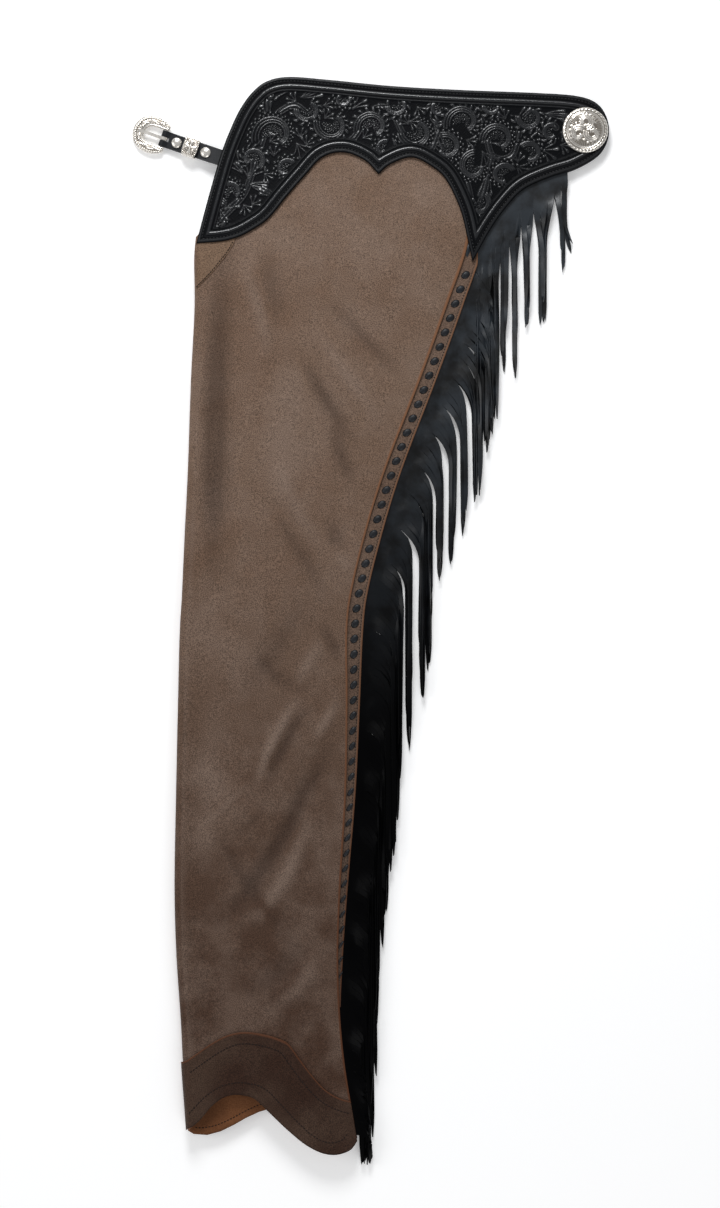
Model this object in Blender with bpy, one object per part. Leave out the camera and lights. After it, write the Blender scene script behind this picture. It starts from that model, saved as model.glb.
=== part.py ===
"""Fringed leather show chaps, folded in half along the centre back and laid flat on a surface.

The left leg lies on top with its outside up, and the right leg lies mirrored beneath it. Each leg is one
hide wrapped into a flattened tube: an outer panel, a round fold at the front edge and an inner panel. The
carved yoke lies over the top of the outer panel, and the fringe is sewn in behind the side seam and behind
the lower back edge of the yoke. A concho with a screw joins the two yokes at the centre back, and a short
strap at the front carries the buckle.

Millimetres in the tables, metres in the scene. X runs from the front edge to the centre back, Y from the
hem up to the waist, and Z up from the surface. Everything is centred on its own footprint at the end.
"""
import math

import bmesh
import bpy
import numpy as np
from mathutils import Matrix, Vector
from mathutils.geometry import delaunay_2d_cdt

MM = 0.001

# Leather thicknesses and the clearance between touching pieces, in millimetres.
HIDE = 2.0
YOKE = 3.2
TRIM = 1.6
STRAP_PLY = 1.5
FRINGE = 1.3
GAP = 0.4

# Heights of the middle of each panel above the surface.
UNDER_OUTER = HIDE / 2
UNDER_INNER = 8.0
TOP_INNER = UNDER_INNER + HIDE + GAP
TOP_FRONT = 18.4          # outer panel of the top leg at the front fold
TOP_SEAM = 17.6           # and at the side seam
TOP_CROWN = 2.6           # how far its middle stands above that
WAIST_LEVEL = 6.0         # where the stack has come down to at the waist edge
UNDER_FRINGE_TOP = 3.3
TOP_FRINGE_TOP = 7.2

FOLD_RADIUS_LEAST = 1.8
CROTCH = 322.0            # inner panels start here, this high above the middle
STRIP_OVERLAP = 3.0       # the seam strip reaches this far under the outer panel
INNER_PAST_SEAM = 1.0     # and the inner panel this far past the outer one's edge

# The leg, up its height: the front fold's x, the side seam's x and how much of the seam strip shows.
LEG_ROWS = (
    # y, fold_x, seam_x, strip_shows
    (410.0, -178.0, 101.0, 13.0),
    (378.0, -177.0, 97.5, 15.0),
    (317.0, -176.0, 77.0, 16.0),
    (245.0, -179.5, 51.0, 16.0),
    (145.0, -183.0, 12.6, 16.5),
    (86.0, -186.0, -5.3, 16.5),
    (20.0, -189.0, -20.5, 16.0),
    (-3.0, -190.5, -23.0, 16.0),
    (-78.0, -192.5, -23.0, 12.5),
    (-171.0, -194.5, -24.5, 9.5),
    (-275.0, -196.0, -30.5, 7.0),
    (-338.0, -194.0, -32.3, 4.5),
    (-396.0, -190.0, -30.3, 0.5),
    (-444.0, -187.5, -25.6, 0.0),
    (-491.0, -184.0, -18.0, 0.0),
    (-533.0, -181.0, -11.0, 0.0),
)
# Edges across the leg, each as x and the height of the edge there.
OUTER_TOP = ((-176, 381), (-160, 400), (-140, 425), (-110, 450), (-70, 474), (-28, 490), (20, 488),
             (60, 472), (84, 440), (96, 398))
OUTER_HEM = ((-182, -507), (-172, -499.5), (-158, -485), (-146, -476.5), (-134, -473), (-123, -473.5),
             (-112, -477), (-100, -489), (-82, -508), (-66, -522.5), (-52, -530.5), (-40, -533),
             (-28, -531), (-20, -527), (-13, -519))
INNER_TOP = ((-176, 322), (-140, 300), (-60, 284), (20, 286), (90, 296))
INNER_HEM = ((-182, -513), (-171, -515), (-157, -513), (-142, -507), (-126, -498.5), (-110, -491.5),
             (-92, -487), (-60, -484), (-20, -486))
BAND_TOP = ((-187, -441), (-174, -432), (-158, -421), (-142, -413), (-126, -410), (-108, -412),
            (-92, -416.5), (-82, -421.5), (-72, -435), (-58, -453.5), (-46, -467), (-34, -475), (-20, -480))
GORE_EDGE = ((-175, 330), (-168, 337), (-158, 347.5), (-149, 358.5), (-141, 369), (-135, 380))

# The yoke's outline, anticlockwise from the front point; corner is 1 where the edge turns sharply.
YOKE_OUTLINE = (
    # x, y, corner
    (-174, 377, 1), (-149, 379, 0), (-133, 383, 0), (-119, 390, 0), (-102, 402, 0), (-84, 424, 0),
    (-66, 445, 0), (-48, 464, 0), (-27, 469, 0), (-6, 461, 0), (8, 447, 1), (20, 457, 0), (41, 464, 0),
    (61, 455, 0), (76, 441, 0), (90, 411, 0), (97, 382, 0), (102, 359, 1), (115, 383, 0), (126, 401, 0),
    (138, 417, 0), (149, 429, 0), (161, 437, 0), (183, 446, 0), (205, 453, 0), (225, 464, 0),
    (235, 475, 0), (239, 490, 0), (236, 506, 0), (226, 519, 0), (206, 526, 0), (166, 529, 0),
    (89, 532, 0), (20, 536, 0), (-41, 542, 0), (-81, 545, 0), (-103, 541, 0), (-118, 530, 0),
    (-131, 512, 0), (-142, 488, 0), (-150, 466, 0), (-157, 442, 0), (-165, 412, 0),
)
# Where the fringe is sewn in behind the yoke, and how far its strands reach, from the centre back down.
FRINGE_ROOT = ((199, 458), (180, 452), (157, 443), (136, 427), (119, 404), (106, 381), (97, 364))
FRINGE_REACH = ((2, -542), (1, -478), (2, -398), (10, -338), (20, -290), (21, -240), (32, -180),
                (53, -68), (68, 8), (90, 75), (107, 118), (125, 185), (148, 236), (176, 305), (204, 352))
FRINGE_TIPS_Y = -543.0

CONCHO_AT = (215.0, 491.5)
CONCHO_RADIUS = 22.8
CONCHO_RIM = 1.4
CONCHO_DOME = 3.6
SHANK_RADIUS = 2.5
SCREW_HEAD_RADIUS = 5.5
SCREW_HEAD = 1.2

# The buckle strap leaves the yoke's front edge at STRAP_ROOT and runs outwards at STRAP_TURN degrees.
STRAP_ROOT = (-150.5, 464.0)
STRAP_TURN = 160.7
STRAP_WIDTH = 16.0
STRAP_INSIDE = 24.0       # the length sewn behind the yoke
STRAP_OUT = 60.5          # from the yoke's edge to the middle of the heel bar
STRAP_TURNBACK = 7.0      # the lower ply ends this far from the yoke's edge
SNAP_AT = (46.5, 15.5)    # distances out along the strap
SNAP_RADIUS = 5.3
SNAP_DOME = 2.2
KEEPER_AT = 31.5
KEEPER_LENGTH = 13.5
KEEPER_WALL = 1.1
KEEPER_ROOM = 3.6         # height left above the strap for the billet

BAR_RADIUS = 1.5
BAR_HEIGHT = 4.2
BAR_CLEARANCE = 0.35
FRAME_THICK = 2.4
# The frame's outline and window, each as the distance out from the heel bar and the half width there.
FRAME_OUTER = ((-3.2, 13.5), (0.0, 15.6), (6.0, 18.0), (14.0, 18.6), (22.0, 16.6), (28.0, 12.2), (31.5, 6.0),
               (32.4, 0.0))
FRAME_WINDOW = ((-3.2, 8.7), (12.0, 8.7), (17.0, 7.4), (20.0, 4.4), (21.0, 0.0))
TONGUE_WIDTH = 3.0
TONGUE_THICK = 1.8
TONGUE_LENGTH = 26.5
TONGUE_SLOT = 4.0

BILLET_START = (-126.0, 508.0)
BILLET_LENGTH = 230.0
BILLET_THICK = 2.6
BILLET_HOLES = 6
BILLET_HOLE_PITCH = 25.0
BILLET_HOLE_RADIUS = 2.4

FLOOR_DROP = 70.0         # the under panel comes down to the surface over this length below the yoke


def smooth(t):
    """A smooth step from 0 to 1."""
    t = min(1.0, max(0.0, t))
    return t * t * (3 - 2 * t)


def curve_of(table, column=1):
    """A smooth function through a table's first column and one other, straight beyond its ends."""
    rows = sorted(table)
    at = [float(row[0]) for row in rows]
    value = [float(row[column]) for row in rows]
    slope = [(value[i + 1] - value[i]) / (at[i + 1] - at[i]) for i in range(len(at) - 1)]
    tangent = [slope[0]] + [(a + b) / 2 for a, b in zip(slope, slope[1:])] + [slope[-1]]

    def read(x):
        x = min(max(x, at[0]), at[-1])
        i = min(len(at) - 2, max(0, int(np.searchsorted(at, x)) - 1))
        width = at[i + 1] - at[i]
        t = (x - at[i]) / width
        return (value[i] * (1 + 2 * t) * (1 - t) ** 2 + tangent[i] * width * t * (1 - t) ** 2
                + value[i + 1] * t * t * (3 - 2 * t) + tangent[i + 1] * width * t * t * (t - 1))

    return read


fold_x = curve_of(LEG_ROWS, 1)
seam_x = curve_of(LEG_ROWS, 2)
strip_shows = curve_of(LEG_ROWS, 3)
outer_top = curve_of(OUTER_TOP)
outer_hem = curve_of(OUTER_HEM)
inner_top = curve_of(INNER_TOP)
inner_hem = curve_of(INNER_HEM)
band_top = curve_of(BAND_TOP)
gore_edge = curve_of(GORE_EDGE)


def rounded_outline(rows, step):
    """Points along a closed outline, smooth except at its corners, about step apart."""
    points = []
    count = len(rows)
    for i in range(count):
        before, here, there, after = (rows[(i + k) % count] for k in (-1, 0, 1, 2))
        a, b = Vector(here[:2]), Vector(there[:2])
        out_of_a = (b - a) if here[2] else (b - Vector(before[:2])) / 2
        into_b = (b - a) if there[2] else (Vector(after[:2]) - a) / 2
        pieces = max(1, round((b - a).length / step))
        for k in range(pieces):
            t = k / pieces
            points.append(a * (1 + 2 * t) * (1 - t) ** 2 + out_of_a * t * (1 - t) ** 2
                          + b * t * t * (3 - 2 * t) + into_b * t * t * (t - 1))
    return points


# Heights of the laid-out stack.

def sinking(x, y):
    """1 over the legs, falling to 0 at the waist edge and at the centre back."""
    return (1 - smooth((y - 335) / 205)) * (1 - smooth((x - 50) / 125))


def across(x, y):
    """0 at the front fold and 1 at the side seam."""
    y = min(y, LEG_ROWS[1][0])
    left, right = fold_x(y), seam_x(y)
    return min(1.0, max(0.0, (x - left) / (right - left)))


def top_outer(x, y):
    """The middle of the top leg's outer panel, and of the stack that carries on past it."""
    s = across(x, y)
    crowned = TOP_FRONT + (TOP_SEAM - TOP_FRONT) * s + TOP_CROWN * math.sin(math.pi * s)
    share = sinking(x, y)
    return WAIST_LEVEL * (1 - share) + crowned * share


def under_outer(x, y):
    """The middle of the under leg's outer panel: flat on the surface, and up over the under yoke."""
    return UNDER_OUTER + (YOKE + GAP) * smooth((y - 282) / FLOOR_DROP)


# Modelling helpers.

def clear_scene():
    for obj in list(bpy.data.objects):
        bpy.data.objects.remove(obj, do_unlink=True)


def finish_of(name, colour, roughness, metallic=0.0):
    mat = bpy.data.materials.new(name)
    mat.use_nodes = True
    shader = mat.node_tree.nodes["Principled BSDF"]
    shader.inputs["Base Color"].default_value = (*colour, 1.0)
    shader.inputs["Roughness"].default_value = roughness
    shader.inputs["Metallic"].default_value = metallic
    return mat


def place(name, bm, mat):
    """A new object from a mesh in millimetres, shaded smooth but for its sharp edges."""
    bmesh.ops.scale(bm, vec=(MM, MM, MM), verts=bm.verts)
    mesh = bpy.data.meshes.new(name)
    bm.to_mesh(mesh)
    bm.free()
    mesh.materials.append(mat)
    mesh.shade_smooth()
    mesh.set_sharp_from_angle(angle=math.radians(40))
    obj = bpy.data.objects.new(name, mesh)
    bpy.context.scene.collection.objects.link(obj)
    return obj


def thicken(obj, thickness):
    """Gives a surface its leather thickness, half to each side."""
    wall = obj.modifiers.new("wall", "SOLIDIFY")
    wall.thickness = thickness * MM
    wall.offset = 0.0
    wall.use_even_offset = True
    return obj


def cut(obj, cutter, operation="DIFFERENCE"):
    """Cuts obj with cutter, which is hidden from the model."""
    cutter.hide_render = True
    cutter.display_type = "WIRE"
    step = obj.modifiers.new("cut", "BOOLEAN")
    step.operation = operation
    step.object = cutter
    return obj


def panel(name, outline, height, thickness, step, mat):
    """A sheet of leather cut to an outline and draped at the given height of its middle."""
    low = [min(p[k] for p in outline) for k in (0, 1)]
    high = [max(p[k] for p in outline) for k in (0, 1)]
    inside = []
    for row in range(int((high[1] - low[1]) / (step * 0.87)) + 1):
        y = low[1] + row * step * 0.87
        for column in range(int((high[0] - low[0]) / step) + 1):
            x = low[0] + (column + 0.5 * (row % 2)) * step
            if is_inside(x, y, outline, step * 0.45):
                inside.append(Vector((x, y)))
    ring = [Vector(p[:2]) for p in outline]
    edges = [(i, (i + 1) % len(ring)) for i in range(len(ring))]
    flat, _, faces, *_ = delaunay_2d_cdt(ring + inside, edges, [], 1, 1e-5)
    bm = bmesh.new()
    verts = [bm.verts.new((p.x, p.y, height(p.x, p.y))) for p in flat]
    for face in faces:
        bm.faces.new([verts[i] for i in face])
    bmesh.ops.recalc_face_normals(bm, faces=bm.faces)
    return thicken(place(name, bm, mat), thickness)


def is_inside(x, y, outline, margin):
    """Whether a point lies inside a closed outline and at least margin from it."""
    odd = False
    here = Vector((x, y))
    for i, a in enumerate(outline):
        b = outline[(i + 1) % len(outline)]
        if (a[1] > y) != (b[1] > y) and x < a[0] + (y - a[1]) * (b[0] - a[0]) / (b[1] - a[1]):
            odd = not odd
        a, along = Vector(a[:2]), Vector(b[:2]) - Vector(a[:2])
        share = min(1.0, max(0.0, (here - a).dot(along) / max(along.length_squared, 1e-9)))
        if (a + along * share - here).length < margin:
            return False
    return odd


def woven_grid(name, columns, rows, point, thickness, mat):
    """A wall on a grid of columns by rows, whose middle passes through point(column, row)."""
    bm = bmesh.new()
    bmesh.ops.create_grid(bm, x_segments=columns - 1, y_segments=rows - 1, size=0.5)
    for vert in bm.verts:
        column = round((vert.co.x + 0.5) * (columns - 1))
        row = round((vert.co.y + 0.5) * (rows - 1))
        vert.co = point(column, row)
    return thicken(place(name, bm, mat), thickness)


def turned(name, profile, mat, segments=32):
    """A solid of revolution about Z from (radius, height) pairs that start and end on the axis."""
    bm = bmesh.new()
    verts = [bm.verts.new((radius, 0.0, height)) for radius, height in profile]
    edges = [bm.edges.new(pair) for pair in zip(verts, verts[1:])]
    bmesh.ops.spin(bm, geom=verts + edges, cent=(0, 0, 0), axis=(0, 0, 1), angle=math.tau,
                   steps=segments, use_merge=True)
    bmesh.ops.remove_doubles(bm, verts=bm.verts, dist=1e-4)
    bmesh.ops.recalc_face_normals(bm, faces=bm.faces)
    return place(name, bm, mat)


def prism(name, outline, low, high, mat):
    """An outline in the XY plane, extruded from low to high along Z."""
    bm = bmesh.new()
    face = bm.faces.new([bm.verts.new((x, y, low)) for x, y in outline])
    raised = bmesh.ops.extrude_face_region(bm, geom=[face])["geom"]
    bmesh.ops.translate(bm, vec=(0, 0, high - low), verts=[v for v in raised if isinstance(v, bmesh.types.BMVert)])
    bmesh.ops.recalc_face_normals(bm, faces=bm.faces)
    return place(name, bm, mat)


def box_solid(name, size, centre, mat):
    bm = bmesh.new()
    bmesh.ops.create_cube(bm, size=1.0)
    bmesh.ops.scale(bm, vec=size, verts=bm.verts)
    bmesh.ops.translate(bm, vec=centre, verts=bm.verts)
    return place(name, bm, mat)


def cylinder(name, radius, low, high, mat, axis="Z", segments=24):
    bm = bmesh.new()
    bmesh.ops.create_cone(bm, cap_ends=True, segments=segments, radius1=radius, radius2=radius, depth=high - low)
    bmesh.ops.translate(bm, vec=(0, 0, (low + high) / 2), verts=bm.verts)
    if axis == "Y":
        bmesh.ops.rotate(bm, matrix=Matrix.Rotation(math.radians(90), 3, "X"), verts=bm.verts)
    return place(name, bm, mat)


# The legs.

OUTER_COLUMNS = 12
FOLD_COLUMNS = 5
INNER_COLUMNS = 8
LEG_STEPS = 25


def leg_column(column):
    """(part of the hide, share across it) of a column, from the seam round the fold to the inner seam."""
    if column < OUTER_COLUMNS:
        return "outer", 1 - column / OUTER_COLUMNS
    if column <= OUTER_COLUMNS + FOLD_COLUMNS:
        return "fold", (column - OUTER_COLUMNS) / FOLD_COLUMNS
    return "inner", (column - OUTER_COLUMNS - FOLD_COLUMNS) / INNER_COLUMNS


def leg_ends(part, share):
    """The heights of the hem and of the top edge at a column."""
    hem_left, hem_right = fold_x(-507) + 4, seam_x(-519)
    top_left, top_right = -174.0, 97.0
    if part == "outer":
        return (outer_hem(hem_left + (hem_right - hem_left) * share),
                outer_top(top_left + (top_right - top_left) * share))
    if part == "inner":
        return (inner_hem(hem_left + (hem_right - hem_left) * share),
                inner_top(top_left + (90 - top_left) * share))
    return (outer_hem(hem_left) * (1 - share) + inner_hem(hem_left) * share,
            outer_top(top_left) * (1 - share) + inner_top(top_left) * share)


def leg_point(part, share, y, outer, inner, lift=0.0):
    """A point on the leg's hide. outer and inner are the heights of its two panels, and lift moves the
    point out from the hide."""
    left, right = fold_x(y), seam_x(y)
    rise = outer(left + 6, y) - inner
    most = abs(rise) / 2
    radius = FOLD_RADIUS_LEAST + (most - FOLD_RADIUS_LEAST) * (1 - smooth((y - CROTCH) / 50))
    start = left + HIDE / 2 + radius
    facing = 1 if rise > 0 else -1
    if part == "outer":
        x = start + (right - start) * share
        return Vector((x, y, outer(x, y) + facing * lift))
    turn = math.pi * share
    middle = outer(start, y) - facing * radius
    if part == "fold":
        return Vector((start - (radius + lift) * math.sin(turn), y,
                       middle + facing * (radius + lift) * math.cos(turn)))
    x = start + (right + INNER_PAST_SEAM - start) * share
    return Vector((x, y, middle - facing * (radius + lift)))


def leg(name, outer, inner, mat):
    """One leg's hide, wrapped round the fold: a wall on a grid of columns round it and rows up it."""
    def point(column, row):
        part, share = leg_column(column)
        hem, top = leg_ends(part, share)
        return leg_point(part, share, hem + (top - hem) * row / LEG_STEPS, outer, inner)

    columns = OUTER_COLUMNS + FOLD_COLUMNS + INNER_COLUMNS + 1
    return woven_grid(name, columns, LEG_STEPS + 1, point, HIDE, mat)


def hem_band(mat):
    """The band sewn round the top leg's hem, on the outer panel and half round the fold."""
    rows = 5
    inset = 0.3
    wrapped = 3

    def point(column, row):
        part, share = leg_column(column)
        hem, _ = leg_ends(part, share)
        y = hem
        for _ in range(3):
            x = leg_point(part, share, y, top_outer, TOP_INNER).x
            y = hem + inset + (band_top(x) - hem - inset) * row / (rows - 1)
        return leg_point(part, share, y, top_outer, TOP_INNER, HIDE / 2 + GAP + TRIM / 2)

    return woven_grid("hem_band", OUTER_COLUMNS + wrapped, rows, point, TRIM, mat)


def gore(mat):
    """The soft patch on the front edge below the yoke's front point."""
    yoke_edge = curve_of([row[:2] for row in YOKE_OUTLINE[:4]])
    left, right = -172.0, -135.5

    def point(column, row):
        x = left + (right - left) * column / 5
        low, high = gore_edge(x), yoke_edge(x) - 0.8
        y = low + max(high - low, 0.5) * row / 5
        return Vector((x, y, top_outer(x, y) + HIDE / 2 + GAP + TRIM / 2))

    return woven_grid("front_gore", 6, 6, point, TRIM, mat)


def seam_height(y):
    """The middle of the outer panel where it meets the side seam."""
    return top_outer(seam_x(min(y, 378)), y)


def seam_strip(mat):
    """The laced strip under the outer panel's back edge, which the fringe is sewn beneath."""
    rows, top, bottom = 36, 362.0, -386.0

    def point(column, row):
        y = bottom + (top - bottom) * row / (rows - 1)
        left = seam_x(y) - STRIP_OVERLAP - (16.0 - strip_shows(y)) * 0.8
        right = seam_x(y) + max(strip_shows(y), 0.4)
        x = left + (right - left) * column / 3
        return Vector((x, y, seam_height(y) - HIDE / 2 - GAP - TRIM / 2))

    return woven_grid("seam_strip", 4, rows, point, TRIM, mat)


# The yokes and the fringe.

def yoke_height(x, y):
    return top_outer(x, y) + HIDE / 2 + GAP + YOKE / 2


def yokes(mat):
    outline = rounded_outline(YOKE_OUTLINE, 7.0)
    top = panel("yoke", outline, yoke_height, YOKE, 15.0, mat)
    under = panel("under_yoke", outline, lambda x, y: YOKE / 2, YOKE, 40.0, mat)
    for obj in (top, under):
        hole = cylinder(obj.name + "_hole", SHANK_RADIUS + 0.3, -5.0, 30.0, mat)
        hole.location = (CONCHO_AT[0] * MM, CONCHO_AT[1] * MM, 0)
        cut(obj, hole)
    recess = cylinder("screw_recess", SCREW_HEAD_RADIUS + 0.4, -5.0, SCREW_HEAD + 0.4, mat)
    recess.location = (CONCHO_AT[0] * MM, CONCHO_AT[1] * MM, 0)
    cut(under, recess)
    return top, under


def fringe_outline(root):
    """Round the fringe: down its root, across the lowest tips and up the line that its strands reach."""
    reach = curve_of([(y, x) for x, y in FRINGE_REACH])
    hem, top = leg_ends("outer", 1.0)
    rows = [hem + (top - hem) * row / LEG_STEPS for row in range(LEG_STEPS)]
    seam = [(seam_x(y) + root, y) for y in [352.0] + [y for y in reversed(rows) if y < 340]]
    tips = [(seam_x(-519) + 3, -530), (seam_x(-519) + 6, FRINGE_TIPS_Y)]
    ys = np.linspace(FRINGE_TIPS_Y, FRINGE_REACH[-1][1], 34)
    return seam + tips + [(reach(y), y) for y in ys]


def top_fringe(mat):
    """The top leg's fringe, as the plain space that its strands fill."""
    edge = [(x, y) for x, y in FRINGE_ROOT]
    outline = edge + fringe_outline(-1.5)
    seam_side = curve_of([(y, x) for x, y in FRINGE_ROOT])

    def depth(x, y):
        """How far a point lies out past the line that holds the fringe."""
        if y > FRINGE_ROOT[-1][1]:
            return max(0.0, x - seam_side(y) - 14)
        return max(0.0, x - seam_x(y) - 9)

    def height(x, y):
        held = (top_outer(x, y) + HIDE / 2 - FRINGE / 2 - 0.3 if y > FRINGE_ROOT[-1][1]
                else seam_height(y) - HIDE / 2 - GAP - TRIM - GAP - FRINGE / 2)
        level = TOP_FRINGE_TOP - FRINGE / 2 - 0.9
        return level + (held - level) * math.exp(-depth(x, y) / 20)

    return panel("fringe", outline, height, FRINGE, 16.0, mat)


def under_fringe(mat):
    """The under leg's fringe, flat on the surface beside the under leg and the under yoke."""
    edge = [(row[0] + 0.9, row[1] - 1.6) for row in YOKE_OUTLINE[17:25]][::-1]
    outline = [(201, 449.6)] + edge[1:] + fringe_outline(GAP + 0.2)
    return panel("under_fringe", outline, lambda x, y: UNDER_FRINGE_TOP / 2, UNDER_FRINGE_TOP, 40.0, mat)


# Hardware.

def concho(silver):
    """The concho on the top yoke, with its shank through both yokes, and the screw head beneath."""
    floor = yoke_height(*CONCHO_AT) + YOKE / 2 + 0.3
    dome = [(CONCHO_RADIUS * math.cos(a), CONCHO_RIM + CONCHO_DOME * math.sin(a))
            for a in np.radians(np.linspace(0, 90, 9))]
    dome[-1] = (0.0, CONCHO_RIM + CONCHO_DOME)
    profile = ([(0.0, SCREW_HEAD + 0.3), (SHANK_RADIUS, SCREW_HEAD + 0.3), (SHANK_RADIUS, floor),
                (CONCHO_RADIUS, floor)] + [(r, floor + h) for r, h in dome])
    head = [(0.0, 0.0), (SCREW_HEAD_RADIUS, 0.0), (SCREW_HEAD_RADIUS, SCREW_HEAD), (0.0, SCREW_HEAD)]
    for obj in (turned("concho", profile, silver, 40), turned("concho_screw", head, silver, 24)):
        obj.location = (CONCHO_AT[0] * MM, CONCHO_AT[1] * MM, 0)


def strap_height(out, side=0.0):
    """The middle of the folded strap, at distances out from the yoke's edge and across the strap. It
    lies along the yoke's underside as far as the edge, and then comes down to the heel bar."""
    turn = math.radians(STRAP_TURN)
    under = min(out, 0.0)
    x = STRAP_ROOT[0] + under * math.cos(turn) - side * math.sin(turn)
    y = STRAP_ROOT[1] + under * math.sin(turn) + side * math.cos(turn)
    start = yoke_height(x, y) - YOKE / 2 - 1.5 * GAP - STRAP_PLY
    return start + (BAR_HEIGHT - start) * smooth((out - 2) / (STRAP_OUT - 10))


def strap_axes():
    """Turns strap coordinates (out, across, up) into the chaps' own."""
    return (Matrix.Translation(Vector((*STRAP_ROOT, 0)) * MM)
            @ Matrix.Rotation(math.radians(STRAP_TURN), 4, "Z"))


def strap_path(side):
    """The strap's middle line, out along its upper ply, round the heel bar and back below."""
    apart = (STRAP_PLY + GAP) / 2
    round_bar = BAR_RADIUS + BAR_CLEARANCE + STRAP_PLY / 2
    neck = STRAP_OUT - 5.5
    upper = [(d, side, strap_height(d, side) + apart) for d in np.linspace(-STRAP_INSIDE, neck, 14)]
    loop = [(STRAP_OUT + round_bar * math.cos(a), side, BAR_HEIGHT + round_bar * math.sin(a))
            for a in np.radians(np.linspace(120, -120, 13))]
    lower = [(d, side, strap_height(d, side) - apart) for d in np.linspace(neck, STRAP_TURNBACK, 8)]
    return upper + loop + lower


def buckle_strap(mat):
    """One strip of leather folded round the heel bar, with a slot for the tongue."""
    bm = bmesh.new()
    right, left = ([bm.verts.new(point) for point in strap_path(side * STRAP_WIDTH / 2)] for side in (-1, 1))
    for i in range(len(right) - 1):
        bm.faces.new([right[i], right[i + 1], left[i + 1], left[i]])
    bmesh.ops.recalc_face_normals(bm, faces=bm.faces)
    strap = thicken(place("buckle_strap", bm, mat), STRAP_PLY)
    slot = box_solid("tongue_slot", (13.0, TONGUE_SLOT, 20.0), (STRAP_OUT + 1.0, 0.0, BAR_HEIGHT), mat)
    cut(strap, slot)
    for obj in (strap, slot):
        obj.matrix_world = strap_axes()
    return strap


def strap_hardware(silver):
    """The two domed snaps and the engraved keeper on the strap."""
    for number, out in enumerate(SNAP_AT, start=1):
        profile = [(0.0, 0.0), (SNAP_RADIUS, 0.0)] + [
            (SNAP_RADIUS * math.cos(a), 0.6 + SNAP_DOME * math.sin(a)) for a in np.radians(np.linspace(0, 75, 5))]
        profile.append((0.0, 0.6 + SNAP_DOME))
        snap = turned(f"strap_snap_{number}", profile, silver, 24)
        up = strap_height(out) + (STRAP_PLY + GAP / 2) + 0.5
        snap.matrix_world = strap_axes() @ Matrix.Translation(Vector((out, 0, up)) * MM) @ tilt_along(out)
    inner_height = 2 * STRAP_PLY + GAP + 1.0 + KEEPER_ROOM
    width = STRAP_WIDTH + 1.2
    middle = strap_height(KEEPER_AT) - (STRAP_PLY + GAP / 2) - 0.6 + inner_height / 2
    keeper = box_solid("keeper", (KEEPER_LENGTH, width + 2 * KEEPER_WALL, inner_height + 2 * KEEPER_WALL),
                       (0, 0, 0), silver)
    hollow = box_solid("keeper_hollow", (KEEPER_LENGTH + 10, width, inner_height), (0, 0, 0), silver)
    for obj in (keeper, hollow):
        obj.matrix_world = (strap_axes() @ Matrix.Translation(Vector((KEEPER_AT, 0, middle)) * MM)
                            @ tilt_along(KEEPER_AT))
    round_edges = keeper.modifiers.new("round", "BEVEL")
    round_edges.width = 0.9 * MM
    round_edges.segments = 2
    cut(keeper, hollow)


def tilt_along(out):
    """The strap's slope at a distance out, as a turn about its own cross axis."""
    slope = (strap_height(out + 1) - strap_height(out - 1)) / 2
    return Matrix.Rotation(-math.atan(slope), 4, "Y")


def mirrored_outline(table, step):
    """A closed outline, symmetric about the strap's middle, from distances out and half widths."""
    side = [Vector(row) for row in table]
    half = []
    for i in range(len(side) - 1):
        before, a, b = side[max(i - 1, 0)], side[i], side[i + 1]
        after = side[i + 2] if i + 2 < len(side) else Vector((b.x, -a.y))
        pieces = max(1, round((b - a).length / step))
        for k in range(pieces):
            t = k / pieces
            half.append(a * (1 + 2 * t) * (1 - t) ** 2 + (b - before) / 2 * t * (1 - t) ** 2
                        + b * t * t * (3 - 2 * t) + (after - a) / 2 * t * t * (t - 1))
    half.append(side[-1])
    return [(p.x, p.y) for p in half] + [(p.x, -p.y) for p in reversed(half[:-1])]


def buckle(silver):
    """The frame with its heel bar, and the tongue that swings on the bar. Both turn about the bar."""
    tilt = strap_axes() @ Matrix.Translation(Vector((STRAP_OUT, 0, BAR_HEIGHT)) * MM) @ Matrix.Rotation(
        math.radians(4.6), 4, "Y")
    frame = prism("buckle_frame", mirrored_outline(FRAME_OUTER, 3.0), -FRAME_THICK / 2, FRAME_THICK / 2, silver)
    window = prism("buckle_window", [(x - 6 if x < 0 else x, y) for x, y in mirrored_outline(FRAME_WINDOW, 3.0)],
                   -10, 10, silver)
    soften = frame.modifiers.new("soften", "BEVEL")
    soften.width = 0.7 * MM
    soften.segments = 2
    soften.limit_method = "ANGLE"
    cut(frame, window)
    bar = cylinder("heel_bar_tool", BAR_RADIUS, -10.5, 10.5, silver, axis="Y", segments=20)
    cut(frame, bar, "UNION")
    eye = BAR_RADIUS + BAR_CLEARANCE
    top = FRAME_THICK / 2 + 0.3
    eye_outer = eye + TONGUE_THICK
    side = [(eye_outer * math.cos(a), eye_outer * math.sin(a)) for a in np.radians(np.linspace(70, 330, 14))]
    shank = [(8.0, top - 1.6), (16.0, top - 0.2), (TONGUE_LENGTH - 5, top), (TONGUE_LENGTH, top)]
    back = [(TONGUE_LENGTH + 0.6, top + 0.6), (TONGUE_LENGTH - 1, top + TONGUE_THICK * 0.8),
            (16.0, top + TONGUE_THICK), (8.0, top + TONGUE_THICK * 0.7)]
    tongue = prism("buckle_tongue", side + shank + back, -TONGUE_WIDTH / 2, TONGUE_WIDTH / 2, silver)
    hole = cylinder("tongue_eye", eye, -6, 6, silver, segments=20)
    cut(tongue, hole)
    upright = Matrix.Rotation(math.radians(90), 4, "X")
    for obj in (frame, window, bar):
        obj.matrix_world = tilt
    for obj in (tongue, hole):
        obj.matrix_world = tilt @ upright


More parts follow.
